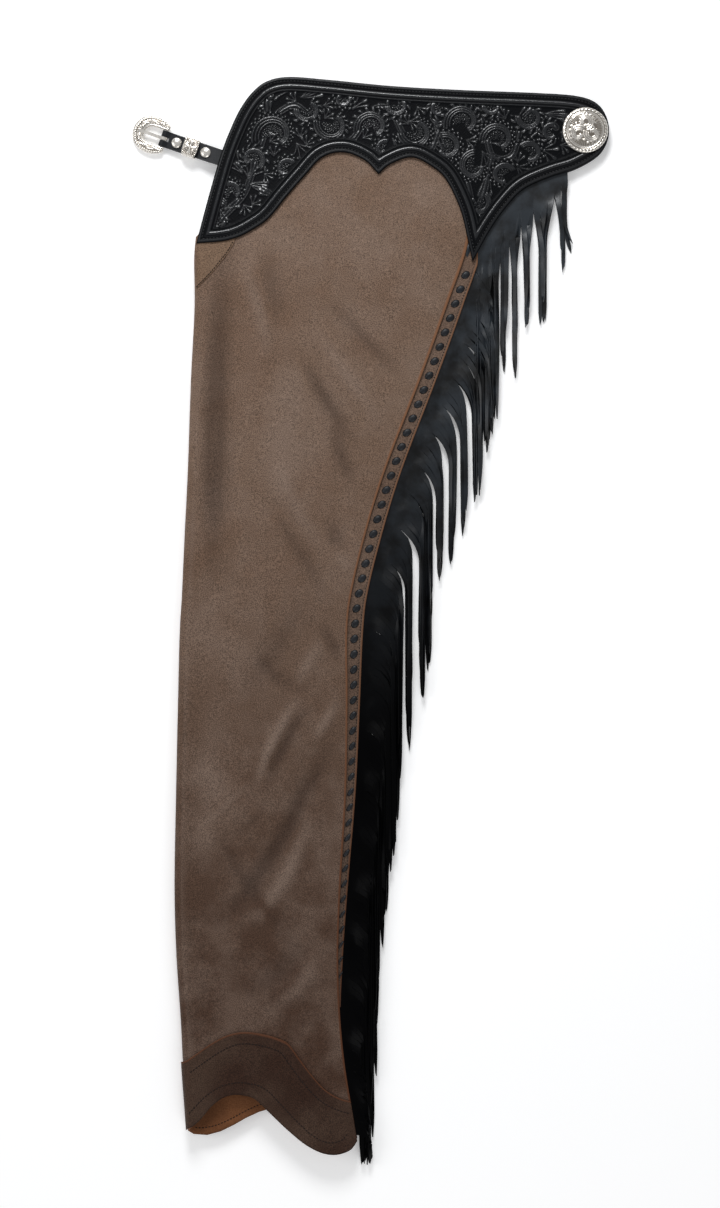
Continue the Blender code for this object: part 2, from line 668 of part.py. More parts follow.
def billet(mat):
    """The under leg's plain strap, tucked back between the yokes, with its row of holes."""
    x, y = BILLET_START
    half = STRAP_WIDTH / 2
    tip = [(BILLET_LENGTH + half * math.cos(a), half * math.sin(a)) for a in np.radians(np.linspace(60, -60, 7))]
    low = YOKE + 0.3
    strap = prism("billet", [(0, half)] + [(0, -half)] + tip[::-1], low, low + BILLET_THICK, mat)
    holes = bmesh.new()
    for i in range(BILLET_HOLES):
        at = BILLET_LENGTH - 12 - i * BILLET_HOLE_PITCH
        made = bmesh.ops.create_cone(holes, cap_ends=True, segments=16, radius1=BILLET_HOLE_RADIUS,
                                     radius2=BILLET_HOLE_RADIUS, depth=20)
        bmesh.ops.translate(holes, vec=(at, 0, low), verts=made["verts"])
    punch = place("billet_punch", holes, mat)
    cut(strap, punch)
    for obj in (strap, punch):
        obj.location = (x * MM, y * MM, 0)


def centre_on_footprint():
    """Parents everything to one empty and moves it so that the origin is under the middle."""
    bpy.context.view_layer.update()
    graph = bpy.context.evaluated_depsgraph_get()
    corners = np.array([obj.matrix_world @ vert.co for obj in bpy.context.scene.objects if not obj.hide_render
                        for vert in obj.evaluated_get(graph).data.vertices])
    middle = (corners.min(axis=0) + corners.max(axis=0)) / 2
    base = bpy.data.objects.new("chaps", None)
    bpy.context.scene.collection.objects.link(base)
    for obj in list(bpy.context.scene.objects):
        if obj is not base:
            obj.parent = base
    base.location = (-middle[0], -middle[1], -corners.min(axis=0)[2])


def main():
    clear_scene()
    hide = finish_of("leg_leather", (0.14, 0.095, 0.07), 0.62)
    black = finish_of("yoke_leather", (0.012, 0.013, 0.016), 0.38)
    trim = finish_of("gore_leather", (0.22, 0.14, 0.09), 0.7)
    tassel = finish_of("fringe_leather", (0.01, 0.011, 0.014), 0.42)
    silver = finish_of("silver", (0.75, 0.73, 0.68), 0.22, 1.0)
    leg("leg", top_outer, TOP_INNER, hide)
    leg("under_leg", under_outer, UNDER_INNER, hide)
    hem_band(hide)
    gore(trim)
    seam_strip(hide)
    yokes(black)
    top_fringe(tassel)
    under_fringe(tassel)
    concho(silver)
    buckle_strap(black)
    strap_hardware(silver)
    buckle(silver)
    billet(black)
    centre_on_footprint()


main()
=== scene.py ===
"""Fringed leather show chaps, folded in half at the centre back and laid flat: the finished leathers, the
carved yoke, the cut fringe, the lacing and stitching, and the engraved silver.

Lengths in the tables are millimetres in the garment's own layout, and ORIGIN_SHIFT carries them onto the
model. X runs from the front edge to the centre back, Y from the hems up to the waist, and Z up.
"""
import math

import bmesh
import bpy
import numpy as np
from mathutils import Matrix, Vector
from mathutils.geometry import delaunay_2d_cdt


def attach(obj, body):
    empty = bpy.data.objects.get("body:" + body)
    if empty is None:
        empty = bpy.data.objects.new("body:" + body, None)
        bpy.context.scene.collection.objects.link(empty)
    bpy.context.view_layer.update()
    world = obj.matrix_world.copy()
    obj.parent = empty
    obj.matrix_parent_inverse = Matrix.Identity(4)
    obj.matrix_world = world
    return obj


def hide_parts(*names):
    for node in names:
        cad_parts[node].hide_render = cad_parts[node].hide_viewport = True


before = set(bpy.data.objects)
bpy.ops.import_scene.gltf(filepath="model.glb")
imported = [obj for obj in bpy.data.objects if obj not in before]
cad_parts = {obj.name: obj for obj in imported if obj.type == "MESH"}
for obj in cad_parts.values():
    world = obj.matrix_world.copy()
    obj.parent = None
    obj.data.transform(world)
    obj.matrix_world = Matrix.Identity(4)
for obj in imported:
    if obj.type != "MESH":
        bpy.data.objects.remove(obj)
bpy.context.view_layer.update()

MM = 0.001
ORIGIN_SHIFT = Vector((0.13, -1.0, 0.0))

HIDE = 2.0
YOKE = 3.2
TRIM = 1.6
STRAP_PLY = 1.5
FRINGE = 1.3
GAP = 0.4

UNDER_OUTER = HIDE / 2
UNDER_INNER = 8.0
TOP_INNER = UNDER_INNER + HIDE + GAP
TOP_FRONT = 18.4
TOP_SEAM = 17.6
TOP_CROWN = 2.6
WAIST_LEVEL = 6.0
FOLD_RADIUS_LEAST = 1.8
CROTCH = 322.0
STRIP_OVERLAP = 3.0
INNER_PAST_SEAM = 1.0

LEG_ROWS = (
    # y, fold_x, seam_x, strip_shows
    (410.0, -178.0, 101.0, 13.0),
    (378.0, -177.0, 97.5, 15.0),
    (317.0, -176.0, 77.0, 16.0),
    (245.0, -179.5, 51.0, 16.0),
    (145.0, -183.0, 12.6, 16.5),
    (86.0, -186.0, -5.3, 16.5),
    (20.0, -189.0, -20.5, 16.0),
    (-3.0, -190.5, -23.0, 16.0),
    (-78.0, -192.5, -23.0, 12.5),
    (-171.0, -194.5, -24.5, 9.5),
    (-275.0, -196.0, -30.5, 7.0),
    (-338.0, -194.0, -32.3, 4.5),
    (-396.0, -190.0, -30.3, 0.5),
    (-444.0, -187.5, -25.6, 0.0),
    (-491.0, -184.0, -18.0, 0.0),
    (-533.0, -181.0, -11.0, 0.0),
)
OUTER_TOP = ((-176, 381), (-160, 400), (-140, 425), (-110, 450), (-70, 474), (-28, 490), (20, 488),
             (60, 472), (84, 440), (96, 398))
OUTER_HEM = ((-182, -507), (-172, -499.5), (-158, -485), (-146, -476.5), (-134, -473), (-123, -473.5),
             (-112, -477), (-100, -489), (-82, -508), (-66, -522.5), (-52, -530.5), (-40, -533),
             (-28, -531), (-20, -527), (-13, -519))
INNER_TOP = ((-176, 322), (-140, 300), (-60, 284), (20, 286), (90, 296))
INNER_HEM = ((-182, -513), (-171, -515), (-157, -513), (-142, -507), (-126, -498.5), (-110, -491.5),
             (-92, -487), (-60, -484), (-20, -486))
BAND_TOP = ((-187, -441), (-174, -432), (-158, -421), (-142, -413), (-126, -410), (-108, -412),
            (-92, -416.5), (-82, -421.5), (-72, -435), (-58, -453.5), (-46, -467), (-34, -475), (-20, -480))
GORE_EDGE = ((-175, 330), (-168, 337), (-158, 347.5), (-149, 358.5), (-141, 369), (-135, 380))
YOKE_OUTLINE = (
    # x, y, corner
    (-174, 377, 1), (-149, 379, 0), (-133, 383, 0), (-119, 390, 0), (-102, 402, 0), (-84, 424, 0),
    (-66, 445, 0), (-48, 464, 0), (-27, 469, 0), (-6, 461, 0), (8, 447, 1), (20, 457, 0), (41, 464, 0),
    (61, 455, 0), (76, 441, 0), (90, 411, 0), (97, 382, 0), (102, 359, 1), (115, 383, 0), (126, 401, 0),
    (138, 417, 0), (149, 429, 0), (161, 437, 0), (183, 446, 0), (205, 453, 0), (225, 464, 0),
    (235, 475, 0), (239, 490, 0), (236, 506, 0), (226, 519, 0), (206, 526, 0), (166, 529, 0),
    (89, 532, 0), (20, 536, 0), (-41, 542, 0), (-81, 545, 0), (-103, 541, 0), (-118, 530, 0),
    (-131, 512, 0), (-142, 488, 0), (-150, 466, 0), (-157, 442, 0), (-165, 412, 0),
)
FRINGE_ROOT = ((199, 458), (180, 452), (157, 443), (136, 427), (119, 404), (106, 381), (97, 364))

# Soft folds in the top leg: half width, height (a hollow where negative), then points along it.
LEG_FOLDS = (
    (9.0, 1.8, (-127, 366), (-121, 340), (-113, 315), (-106, 289), (-99, 257)),
    (13.0, -2.2, (-150, 343), (-153, 300), (-154, 220), (-156, 111), (-158, 20)),
    (12.0, -1.3, (-105, 372), (-98, 330), (-90, 290)),
    (9.0, -2.0, (-40, 201), (-26, 156), (-13, 128)),
    (10.0, -1.8, (-42, 104), (-27, 61)),
    (9.0, 1.6, (-38, 78), (-20, 48)),
    (8.0, -2.0, (-50, -2), (-28, -42)),
    (8.0, 1.8, (-43, -12), (-62, -42), (-77, -70)),
    (5.5, 3.0, (-69, -73), (-88, -103), (-104, -134), (-115, -167)),
    (7.0, -2.6, (-58, -80), (-78, -110), (-94, -141), (-104, -170)),
    (6.0, 2.4, (-31, -77), (-58, -122)),
    (9.0, -3.0, (-36, -111), (-53, -152), (-67, -173), (-81, -205), (-98, -233), (-127, -276), (-161, -310)),
    (3.0, 1.2, (-119, -159), (-146, -186), (-175, -211)),
    (3.0, -1.2, (-102, -186), (-136, -217)),
    (9.0, 2.4, (-57, -189), (-81, -250), (-110, -293), (-139, -301)),
    (12.0, -1.6, (-60, -318), (-92, -352), (-130, -378)),
    (16.0, 1.2, (-150, -60), (-162, -150), (-160, -250)),
    (20.0, 1.4, (-60, 330), (-75, 250), (-90, 160), (-100, 60)),
    (14.0, -1.2, (-60, 30), (-90, -20), (-130, -80)),
    (9.0, -2.3, (-80, 285), (-60, 245), (-35, 205), (-10, 168)),
    (7.5, -1.6, (-45, 322), (-26, 304), (5, 270), (34, 242)),
    (9.0, 1.8, (-62, 300), (-35, 262), (-8, 225), (12, 190)),
    (8.0, -1.5, (-110, 140), (-85, 90), (-58, 50), (-40, 10)),
    (9.0, 1.5, (-95, 160), (-70, 105), (-45, 66)),
    (8.0, -1.4, (-120, -30), (-90, -60), (-60, -70)),
    (7.0, -1.6, (-70, -330), (-95, -300), (-128, -255), (-160, -200)),
    (8.0, 1.5, (-45, -330), (-75, -370), (-105, -395)),
)


def smooth(t):
    """A smooth step from 0 to 1."""
    t = np.clip(t, 0.0, 1.0)
    return t * t * (3 - 2 * t)


def curve_of(table, column=1):
    """A smooth function through a table's first column and one other, straight beyond its ends."""
    rows = sorted(table)
    at = np.array([row[0] for row in rows], float)
    value = np.array([row[column] for row in rows], float)
    slope = np.diff(value) / np.diff(at)
    tangent = np.concatenate([[slope[0]], (slope[:-1] + slope[1:]) / 2, [slope[-1]]])

    def read(x):
        x = np.clip(x, at[0], at[-1])
        i = np.clip(np.searchsorted(at, x) - 1, 0, len(at) - 2)
        width = at[i + 1] - at[i]
        t = (x - at[i]) / width
        return (value[i] * (1 + 2 * t) * (1 - t) ** 2 + tangent[i] * width * t * (1 - t) ** 2
                + value[i + 1] * t * t * (3 - 2 * t) + tangent[i + 1] * width * t * t * (t - 1))

    return read


fold_x = curve_of(LEG_ROWS, 1)
seam_x = curve_of(LEG_ROWS, 2)
strip_shows = curve_of(LEG_ROWS, 3)
outer_top = curve_of(OUTER_TOP)
outer_hem = curve_of(OUTER_HEM)
inner_top = curve_of(INNER_TOP)
inner_hem = curve_of(INNER_HEM)
band_top = curve_of(BAND_TOP)
gore_edge = curve_of(GORE_EDGE)


def rounded_outline(rows, step):
    """Points along a closed outline, smooth except at its corners, about step apart."""
    points = []
    count = len(rows)
    for i in range(count):
        before, here, there, after = (rows[(i + k) % count] for k in (-1, 0, 1, 2))
        a, b = Vector(here[:2]), Vector(there[:2])
        out_of_a = (b - a) if here[2] else (b - Vector(before[:2])) / 2
        into_b = (b - a) if there[2] else (Vector(after[:2]) - a) / 2
        pieces = max(1, round((b - a).length / step))
        for k in range(pieces):
            t = k / pieces
            points.append(a * (1 + 2 * t) * (1 - t) ** 2 + out_of_a * t * (1 - t) ** 2
                          + b * t * t * (3 - 2 * t) + into_b * t * t * (t - 1))
    return np.array([tuple(p) for p in points])


def spread(index, salt=0.0):
    """A steady scatter from -1 to 1 that looks uneven."""
    return 2 * ((math.sin(index * 12.9898 + salt * 78.233) * 43758.5453) % 1.0) - 1


def near_line(x, y, points):
    """Each place's distance from a line of points, and how far along the line its nearest point is, 0 to 1."""
    points = np.asarray(points, float)
    lengths = np.linalg.norm(np.diff(points, axis=0), axis=1)
    total = lengths.sum()
    best = np.full(np.shape(x), 1e9)
    along = np.zeros(np.shape(x))
    run = 0.0
    for (ax, ay), (bx, by), length in zip(points, points[1:], lengths):
        share = np.clip(((x - ax) * (bx - ax) + (y - ay) * (by - ay)) / max(length * length, 1e-9), 0, 1)
        away = np.hypot(x - ax - share * (bx - ax), y - ay - share * (by - ay))
        closer = away < best
        best = np.where(closer, away, best)
        along = np.where(closer, (run + share * length) / total, along)
        run += length
    return best, along


# Heights of the laid-out stack.

def sinking(x, y):
    return (1 - smooth((y - 335) / 205)) * (1 - smooth((x - 50) / 125))


def across(x, y):
    y = np.minimum(y, LEG_ROWS[1][0])
    left, right = fold_x(y), seam_x(y)
    return np.clip((x - left) / (right - left), 0.0, 1.0)


def top_outer(x, y):
    s = across(x, y)
    crowned = TOP_FRONT + (TOP_SEAM - TOP_FRONT) * s + TOP_CROWN * np.sin(math.pi * s)
    share = sinking(x, y)
    return WAIST_LEVEL * (1 - share) + crowned * share


def under_outer(x, y):
    return UNDER_OUTER + (YOKE + GAP) * smooth((y - 282) / 70.0) + 0 * x


def leg_relief(x, y):
    """The soft folds in the top leg, fading out towards the yoke and the seam, and each towards its own ends."""
    lift = np.zeros(np.shape(x))
    for half_width, height, *points in LEG_FOLDS:
        away, along = near_line(x, y, points)
        fade = smooth(along / 0.3) * smooth((1 - along) / 0.3) if len(points) > 2 else np.sin(math.pi * (
            0.15 + 0.7 * along))
        lift = lift + height * np.exp(-((away / half_width) ** 2)) * fade
    lift += 0.8 * np.exp(-(((x - fold_x(y) - 7) / 7) ** 2))
    lift += 0.5 * np.sin(x / 31 + y / 57) * np.sin(y / 83 - x / 45)
    return lift * smooth((seam_x(y) - x) / 22) * smooth((402 - y) / 30)


# Modelling helpers.

def place(name, bm, materials, body, slot, *nodes):
    """A new piece from a mesh in millimetres, in place on the model."""
    bmesh.ops.scale(bm, vec=(MM, MM, MM), verts=bm.verts)
    bmesh.ops.translate(bm, vec=ORIGIN_SHIFT * MM, verts=bm.verts)
    mesh = bpy.data.meshes.new(name)
    bm.to_mesh(mesh)
    bm.free()
    for mat in materials:
        mesh.materials.append(mat)
    mesh.shade_smooth()
    obj = bpy.data.objects.new(name, mesh)
    bpy.context.scene.collection.objects.link(obj)
    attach(obj, body)
    if nodes:
        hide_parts(*nodes)
    return obj


def mark(obj, name, values):
    """Keeps one number for each point of a piece, which its material reads."""
    layer = obj.data.attributes.new(name, "FLOAT", "POINT")
    layer.data.foreach_set("value", np.asarray(values, np.float32))


def set_points(obj, points):
    """Moves every point of a piece: points in the layout's millimetres."""
    placed = (np.asarray(points, float) + np.array(ORIGIN_SHIFT)) * MM
    obj.data.vertices.foreach_set("co", placed.astype(np.float32).ravel())
    obj.data.update()


def thicken(obj, thickness, lining=0, rim=0, even=True):
    wall = obj.modifiers.new("wall", "SOLIDIFY")
    wall.thickness = thickness * MM
    wall.offset = 0.0
    wall.use_even_offset = even
    wall.material_offset = lining
    wall.material_offset_rim = rim
    return obj


def grid_piece(name, columns, rows, point, thickness, materials, body, slot, *nodes, lining=0, rim=0, flip=False):
    """A wall on a grid. point takes the columns and rows of all its points and gives x, y and z."""
    bm = bmesh.new()
    bmesh.ops.create_grid(bm, x_segments=columns - 1, y_segments=rows - 1, size=0.5)
    if flip:
        bmesh.ops.reverse_faces(bm, faces=bm.faces)
    flat = np.array([vert.co[:2] for vert in bm.verts])
    obj = place(name, bm, materials, body, slot, *nodes)
    column = np.rint((flat[:, 0] + 0.5) * (columns - 1)).astype(int)
    row = np.rint((flat[:, 1] + 0.5) * (rows - 1)).astype(int)
    x, y, z = point(column, row)
    set_points(obj, np.stack([x, y, z], axis=1))
    thicken(obj, thickness, lining, rim)
    return obj, column, row


def lattice_inside(outline, step, margin):
    """Points of a triangular lattice inside an outline, at least margin from it, with that distance."""
    low, high = outline.min(axis=0), outline.max(axis=0)
    rows = np.arange(low[1], high[1], step * 0.866)
    xs, ys = np.meshgrid(np.arange(low[0], high[0], step), rows)
    xs = xs + 0.5 * step * (np.arange(len(rows))[:, None] % 2)
    x, y = xs.ravel(), ys.ravel()
    keep = inside(x, y, outline)
    x, y = x[keep], y[keep]
    away, _ = near_line(x, y, np.vstack([outline, outline[:1]]))
    keep = away >= margin
    return np.stack([x[keep], y[keep]], axis=1)


def inside(x, y, outline):
    odd = np.zeros(np.shape(x), bool)
    for (ax, ay), (bx, by) in zip(outline, np.roll(outline, -1, axis=0)):
        if ay != by:
            odd ^= ((ay > y) != (by > y)) & (x < ax + (y - ay) * (bx - ax) / (by - ay))
    return odd


def inset_rings(outline, depths, step):
    """Rings of points at the given depths inside an outline, so that its border mouldings run true."""
    after = np.roll(outline, -1, axis=0) - np.roll(outline, 1, axis=0)
    normal = np.stack([-after[:, 1], after[:, 0]], axis=1)
    normal /= np.linalg.norm(normal, axis=1)[:, None]
    closed = np.vstack([outline, outline[:1]])
    found = []
    for depth in depths:
        ring = outline + normal * depth
        away, _ = near_line(ring[:, 0], ring[:, 1], closed)
        good = ring[(away > depth - 0.06) & inside(ring[:, 0], ring[:, 1], outline)]
        kept = [good[0]]
        for p in good[1:]:
            if np.linalg.norm(p - kept[-1]) > step * 0.8:
                kept.append(p)
        found.append(np.array(kept))
    return np.vstack(found)


def add_sheet(bm, outline, more, height, turned_over=False):
    """Adds a draped sheet with the given outline and inner points, and returns its outline's points."""
    count = len(outline)
    points = [Vector(p) for p in np.vstack([outline, more])]
    edges = [(i, (i + 1) % count) for i in range(count)]
    flat, _, faces, *_ = delaunay_2d_cdt(points, edges, [], 1, 1e-6)
    where = np.array([tuple(p) for p in flat])
    z = height(where[:, 0], where[:, 1])
    verts = [bm.verts.new((p[0], p[1], h)) for p, h in zip(where, z)]
    for face in faces:
        corners = [verts[i] for i in face]
        bm.faces.new(corners[::-1] if turned_over else corners)
    return verts


def draped_piece(name, outline, more, top, bottom, materials, body, slot, *nodes, under_step=16.0, edge_material=0):
    """A closed sheet: a fine top over a plain underside, joined round the edge."""
    bm = bmesh.new()
    add_sheet(bm, outline, more, top)
    fine = len(bm.verts)
    add_sheet(bm, outline, lattice_inside(outline, under_step, under_step * 0.45), bottom, turned_over=True)
    rim = [edge for edge in bm.edges if edge.is_boundary]
    made = bmesh.ops.bridge_loops(bm, edges=rim)
    for face in made["faces"]:
        face.material_index = edge_material
    bmesh.ops.recalc_face_normals(bm, faces=bm.faces)
    obj = place(name, bm, materials, body, slot, *nodes)
    return obj, fine


def flat_points(obj):
    """A piece's points in the layout's millimetres."""
    co = np.empty(len(obj.data.vertices) * 3, np.float32)
    obj.data.vertices.foreach_get("co", co)
    return co.reshape(-1, 3) / MM - np.array(ORIGIN_SHIFT)


# Materials.

def add_node(tree, kind, settings=None, **inputs):
    """A node with its settings and inputs. An input's value may be another node's output."""
    made = tree.nodes.new(kind)
    for name, value in (settings or {}).items():
        setattr(made, name, value)
    for name, value in inputs.items():
        socket = made.inputs[int(name[1:])] if name[0] == "i" and name[1:].isdigit() else made.inputs[
            name.replace("_", " ")]
        if isinstance(value, bpy.types.NodeSocket):
            tree.links.new(value, socket)
        else:
            socket.default_value = value
    return made


def blend_colours(tree, share, first, second, how="MIX"):
    made = add_node(tree, "ShaderNodeMix", {"data_type": "RGBA", "blend_type": how})
    for index, value in ((0, share), (6, first), (7, second)):
        if isinstance(value, bpy.types.NodeSocket):
            tree.links.new(value, made.inputs[index])
        else:
            made.inputs[index].default_value = value if index == 0 else (*value, 1.0)[:4]
    return made.outputs[2]


def reckon(tree, how, first, second=0.0, third=0.0, clamp=False):
    made = add_node(tree, "ShaderNodeMath", {"operation": how, "use_clamp": clamp}, i0=first, i1=second, i2=third)
    return made.outputs[0]


def between(tree, value, low, high, to_low=0.0, to_high=1.0):
    made = add_node(tree, "ShaderNodeMapRange", {"interpolation_type": "SMOOTHSTEP"}, i0=value, i1=low, i2=high,
                    i3=to_low, i4=to_high)
    return made.outputs[0]


def leather_group():
    """Patches, specks and grain of a leather face, at sizes given in metres."""
    tree = bpy.data.node_groups.new("leather_face", "ShaderNodeTree")
    for name, start in (("Patch size", 0.08), ("Speck size", 0.0015), ("Grain size", 0.0012)):
        tree.interface.new_socket(name, in_out="INPUT", socket_type="NodeSocketFloat").default_value = start
    for name in ("Patch", "Speck", "Grain"):
        tree.interface.new_socket(name, in_out="OUTPUT", socket_type="NodeSocketFloat")
    given = tree.nodes.new("NodeGroupInput").outputs
    result = tree.nodes.new("NodeGroupOutput")
    where = add_node(tree, "ShaderNodeTexCoord").outputs["Object"]
    patch = add_node(tree, "ShaderNodeTexNoise", None, Vector=where,
                     Scale=reckon(tree, "DIVIDE", 1.0, given["Patch size"]), Detail=5.0, Roughness=0.6)
    speck = add_node(tree, "ShaderNodeTexNoise", None, Vector=where,
                     Scale=reckon(tree, "DIVIDE", 1.0, given["Speck size"]), Detail=3.0, Roughness=0.7)
    pebble = add_node(tree, "ShaderNodeTexNoise", None, Vector=where,
                      Scale=reckon(tree, "DIVIDE", 1.0, given["Grain size"]), Detail=2.0, Roughness=0.8)
    grain = reckon(tree, "MULTIPLY_ADD", pebble.outputs[0], 0.7, speck.outputs[0])
    for name, value in (("Patch", patch.outputs[0]), ("Speck", speck.outputs[0]), ("Grain", grain)):
        tree.links.new(value, result.inputs[name])
    return tree


LEATHER_FACE = leather_group()


def new_material(name, roughness, specular=0.4, metallic=0.0):
    mat = bpy.data.materials.new(name)
    mat.use_nodes = True
    shader = mat.node_tree.nodes["Principled BSDF"]
    shader.inputs["Roughness"].default_value = roughness
    shader.inputs["Specular IOR Level"].default_value = specular
    shader.inputs["Metallic"].default_value = metallic
    return mat, mat.node_tree, shader


def leather_face(tree, patch, speck, grain):
    return add_node(tree, "ShaderNodeGroup", {"node_tree": LEATHER_FACE},
                    **{"Patch_size": patch, "Speck_size": speck, "Grain_size": grain}).outputs


def bumped(tree, shader, height, strength, distance):
    bump = add_node(tree, "ShaderNodeBump", None, Strength=strength, Distance=distance, Height=height)
    tree.links.new(bump.outputs[0], shader.inputs["Normal"])


def kept(tree, name):
    """The number that mark() kept on each point."""
    return add_node(tree, "ShaderNodeAttribute", {"attribute_name": name}).outputs["Fac"]


HIDE_TONES = {
    # waist and hem tones of the worn brown leather, the hem tone's darkness partly painted shade, and the tone of its
    # rubbed patches and painted highlights
    "leg": ((0.158, 0.102, 0.071), (0.058, 0.030, 0.019), (0.215, 0.155, 0.122)),
    "band": ((0.070, 0.038, 0.024), (0.034, 0.016, 0.010), (0.10, 0.065, 0.045)),
    "gore": ((0.150, 0.092, 0.058), (0.150, 0.092, 0.058), (0.21, 0.145, 0.10)),
    "strip": ((0.120, 0.076, 0.054), (0.038, 0.021, 0.014), (0.165, 0.115, 0.085)),
}


def brown_leather(kind):
    """Napped brown leather: mottled, with fine specks, paler where it is rubbed and on the folds' ridges (partly
    painted highlight), painted shade in the folds' hollows, and darker to the hem, partly as painted shade.
    """
    waist, hem, rubbed_and_lit = HIDE_TONES[kind]
    mat, tree, shader = new_material(f"{kind}_leather", 0.6, 0.12)
    face = leather_face(tree, 0.06, 0.00095, 0.0008)
    where = add_node(tree, "ShaderNodeTexCoord").outputs["Object"]
    height = add_node(tree, "ShaderNodeSeparateXYZ", None, i0=where).outputs[1]
    # Darker towards the hem: partly painted shade, standing in for the light falling off down the garment.
    down = between(tree, height, 0.25, -0.46)
    tone = blend_colours(tree, down, waist, hem)
    cloudy = between(tree, face["Patch"], 0.35, 0.68)
    tone = blend_colours(tree, reckon(tree, "MULTIPLY", cloudy, 0.4), tone, rubbed_and_lit)
    broad = leather_face(tree, 0.11, 0.02, 0.02)
    dusky = between(tree, broad["Patch"], 0.42, 0.66, 0.0, 0.42)
    tone = blend_colours(tree, dusky, tone, blend_colours(tree, 1.0, tone, (0.72, 0.60, 0.50), "MULTIPLY"))
    # Paler on the folds' ridges and the fold's edge: partly wear, partly painted highlight.
    worn_and_lit = reckon(tree, "MULTIPLY", kept(tree, "wear_and_fold_shading"), 0.6, clamp=True)
    tone = blend_colours(tree, worn_and_lit, tone, rubbed_and_lit)
    # Painted shade: darker in the folds' hollows and in the trough beside the fold's edge.
    hollow_shade = reckon(tree, "MULTIPLY", kept(tree, "wear_and_fold_shading"), -0.5, clamp=True)
    tone = blend_colours(tree, hollow_shade, tone, (0.03, 0.017, 0.012))
    specks = between(tree, face["Speck"], 0.3, 0.7, 0.42, 1.58)
    tone = blend_colours(tree, 1.0, tone, add_node(tree, "ShaderNodeCombineColor", None, i0=specks, i1=specks,
                                                  i2=specks).outputs[0], "MULTIPLY")
    # The cut edge also darkens towards the hem, partly as painted shade.
    edge_tone = blend_colours(tree, down, (0.20, 0.095, 0.05), (0.09, 0.034, 0.016))
    tone = blend_colours(tree, kept(tree, "cut"), tone, edge_tone)
    tree.links.new(tone, shader.inputs["Base Color"])
    tree.links.new(between(tree, face["Patch"], 0.3, 0.7, 0.66, 0.5), shader.inputs["Roughness"])
    bumped(tree, shader, face["Grain"], 0.35, 0.0006)
    return mat


def plain_leather(name, dark, light, roughness, speck=0.0018, strength=0.3, specular=0.45):
    """A leather of two close tones with fine grain."""
    mat, tree, shader = new_material(name, roughness, specular)
    face = leather_face(tree, 0.05, speck, speck)
    tone = blend_colours(tree, between(tree, face["Patch"], 0.3, 0.7), dark, light)
    specks = between(tree, face["Speck"], 0.3, 0.7, 0.8, 1.2)
    tone = blend_colours(tree, 1.0, tone, add_node(tree, "ShaderNodeCombineColor", None, i0=specks, i1=specks,
                                                  i2=specks).outputs[0], "MULTIPLY")
    tree.links.new(tone, shader.inputs["Base Color"])
    tree.links.new(between(tree, face["Speck"], 0.3, 0.7, roughness + 0.06, roughness - 0.06),
                   shader.inputs["Roughness"])
    bumped(tree, shader, face["Grain"], strength, 0.0004)
    return mat


def fringe_leather():
    """Soft black leather with a faint blue sheen near the waist, painted into its colour in patches as well as raised
    in its specular, and none down by the hem.
    """
    mat, tree, shader = new_material("fringe_leather", 0.36, 0.3)
    face = leather_face(tree, 0.028, 0.0012, 0.001)
    where = add_node(tree, "ShaderNodeTexCoord").outputs["Object"]
    height = add_node(tree, "ShaderNodeSeparateXYZ", None, i0=where).outputs[1]
    up = between(tree, height, -0.12, 0.32)
    # Painted highlight: a blue-grey sheen in the colour, strongest towards the waist and in broad patches, fading to
    # black towards the hem.
    tone = blend_colours(tree, up, (0.0006, 0.0006, 0.0008), (0.019, 0.024, 0.030))
    tone = blend_colours(tree, between(tree, face["Patch"], 0.35, 0.65), (0.0006, 0.0006, 0.0008), tone)
    tree.links.new(tone, shader.inputs["Base Color"])
    tree.links.new(between(tree, height, -0.15, 0.3, 0.05, 0.5), shader.inputs["Specular IOR Level"])
    bumped(tree, shader, face["Grain"], 0.12, 0.0003)
    return mat


def carved_leather():
    """The yoke's black leather: matt in the carved ground and burnished on the raised work, with painted shade
    darkening the ground and a painted blue-grey highlight on the raised work and border beads.
    """
    mat, tree, shader = new_material("carved_leather", 0.36, 0.35)
    face = leather_face(tree, 0.04, 0.0013, 0.0011)
    raised = kept(tree, "relief")
    # Painted shade in the carved ground, painted blue-grey highlight on the raised work and the beads.
    tone = blend_colours(tree, raised, (0.0018, 0.0021, 0.0028), (0.0062, 0.0072, 0.0095))
    tree.links.new(tone, shader.inputs["Base Color"])
    tree.links.new(between(tree, raised, 0.1, 0.9, 0.5, 0.2), shader.inputs["Roughness"])
    tree.links.new(between(tree, raised, 0.1, 0.8, 0.06, 0.7), shader.inputs["Specular IOR Level"])
    bumped(tree, shader, face["Grain"], 0.3, 0.0003)
    return mat


def engraved_silver():
    """Bright silver with dark in the engraving."""
    mat, tree, shader = new_material("engraved_silver", 0.22, 0.5, 0.78)
    face = leather_face(tree, 0.01, 0.0009, 0.0009)
    depth = kept(tree, "engraved")
    tone = blend_colours(tree, depth, (0.86, 0.82, 0.76), (0.17, 0.135, 0.095))
    tree.links.new(tone, shader.inputs["Base Color"])
    tree.links.new(between(tree, face["Patch"], 0.3, 0.7, 0.17, 0.32), shader.inputs["Roughness"])
    bumped(tree, shader, face["Grain"], 0.06, 0.0002)
    return mat


LEG = brown_leather("leg")
BAND = brown_leather("band")
GORE = brown_leather("gore")
STRIP = brown_leather("strip")
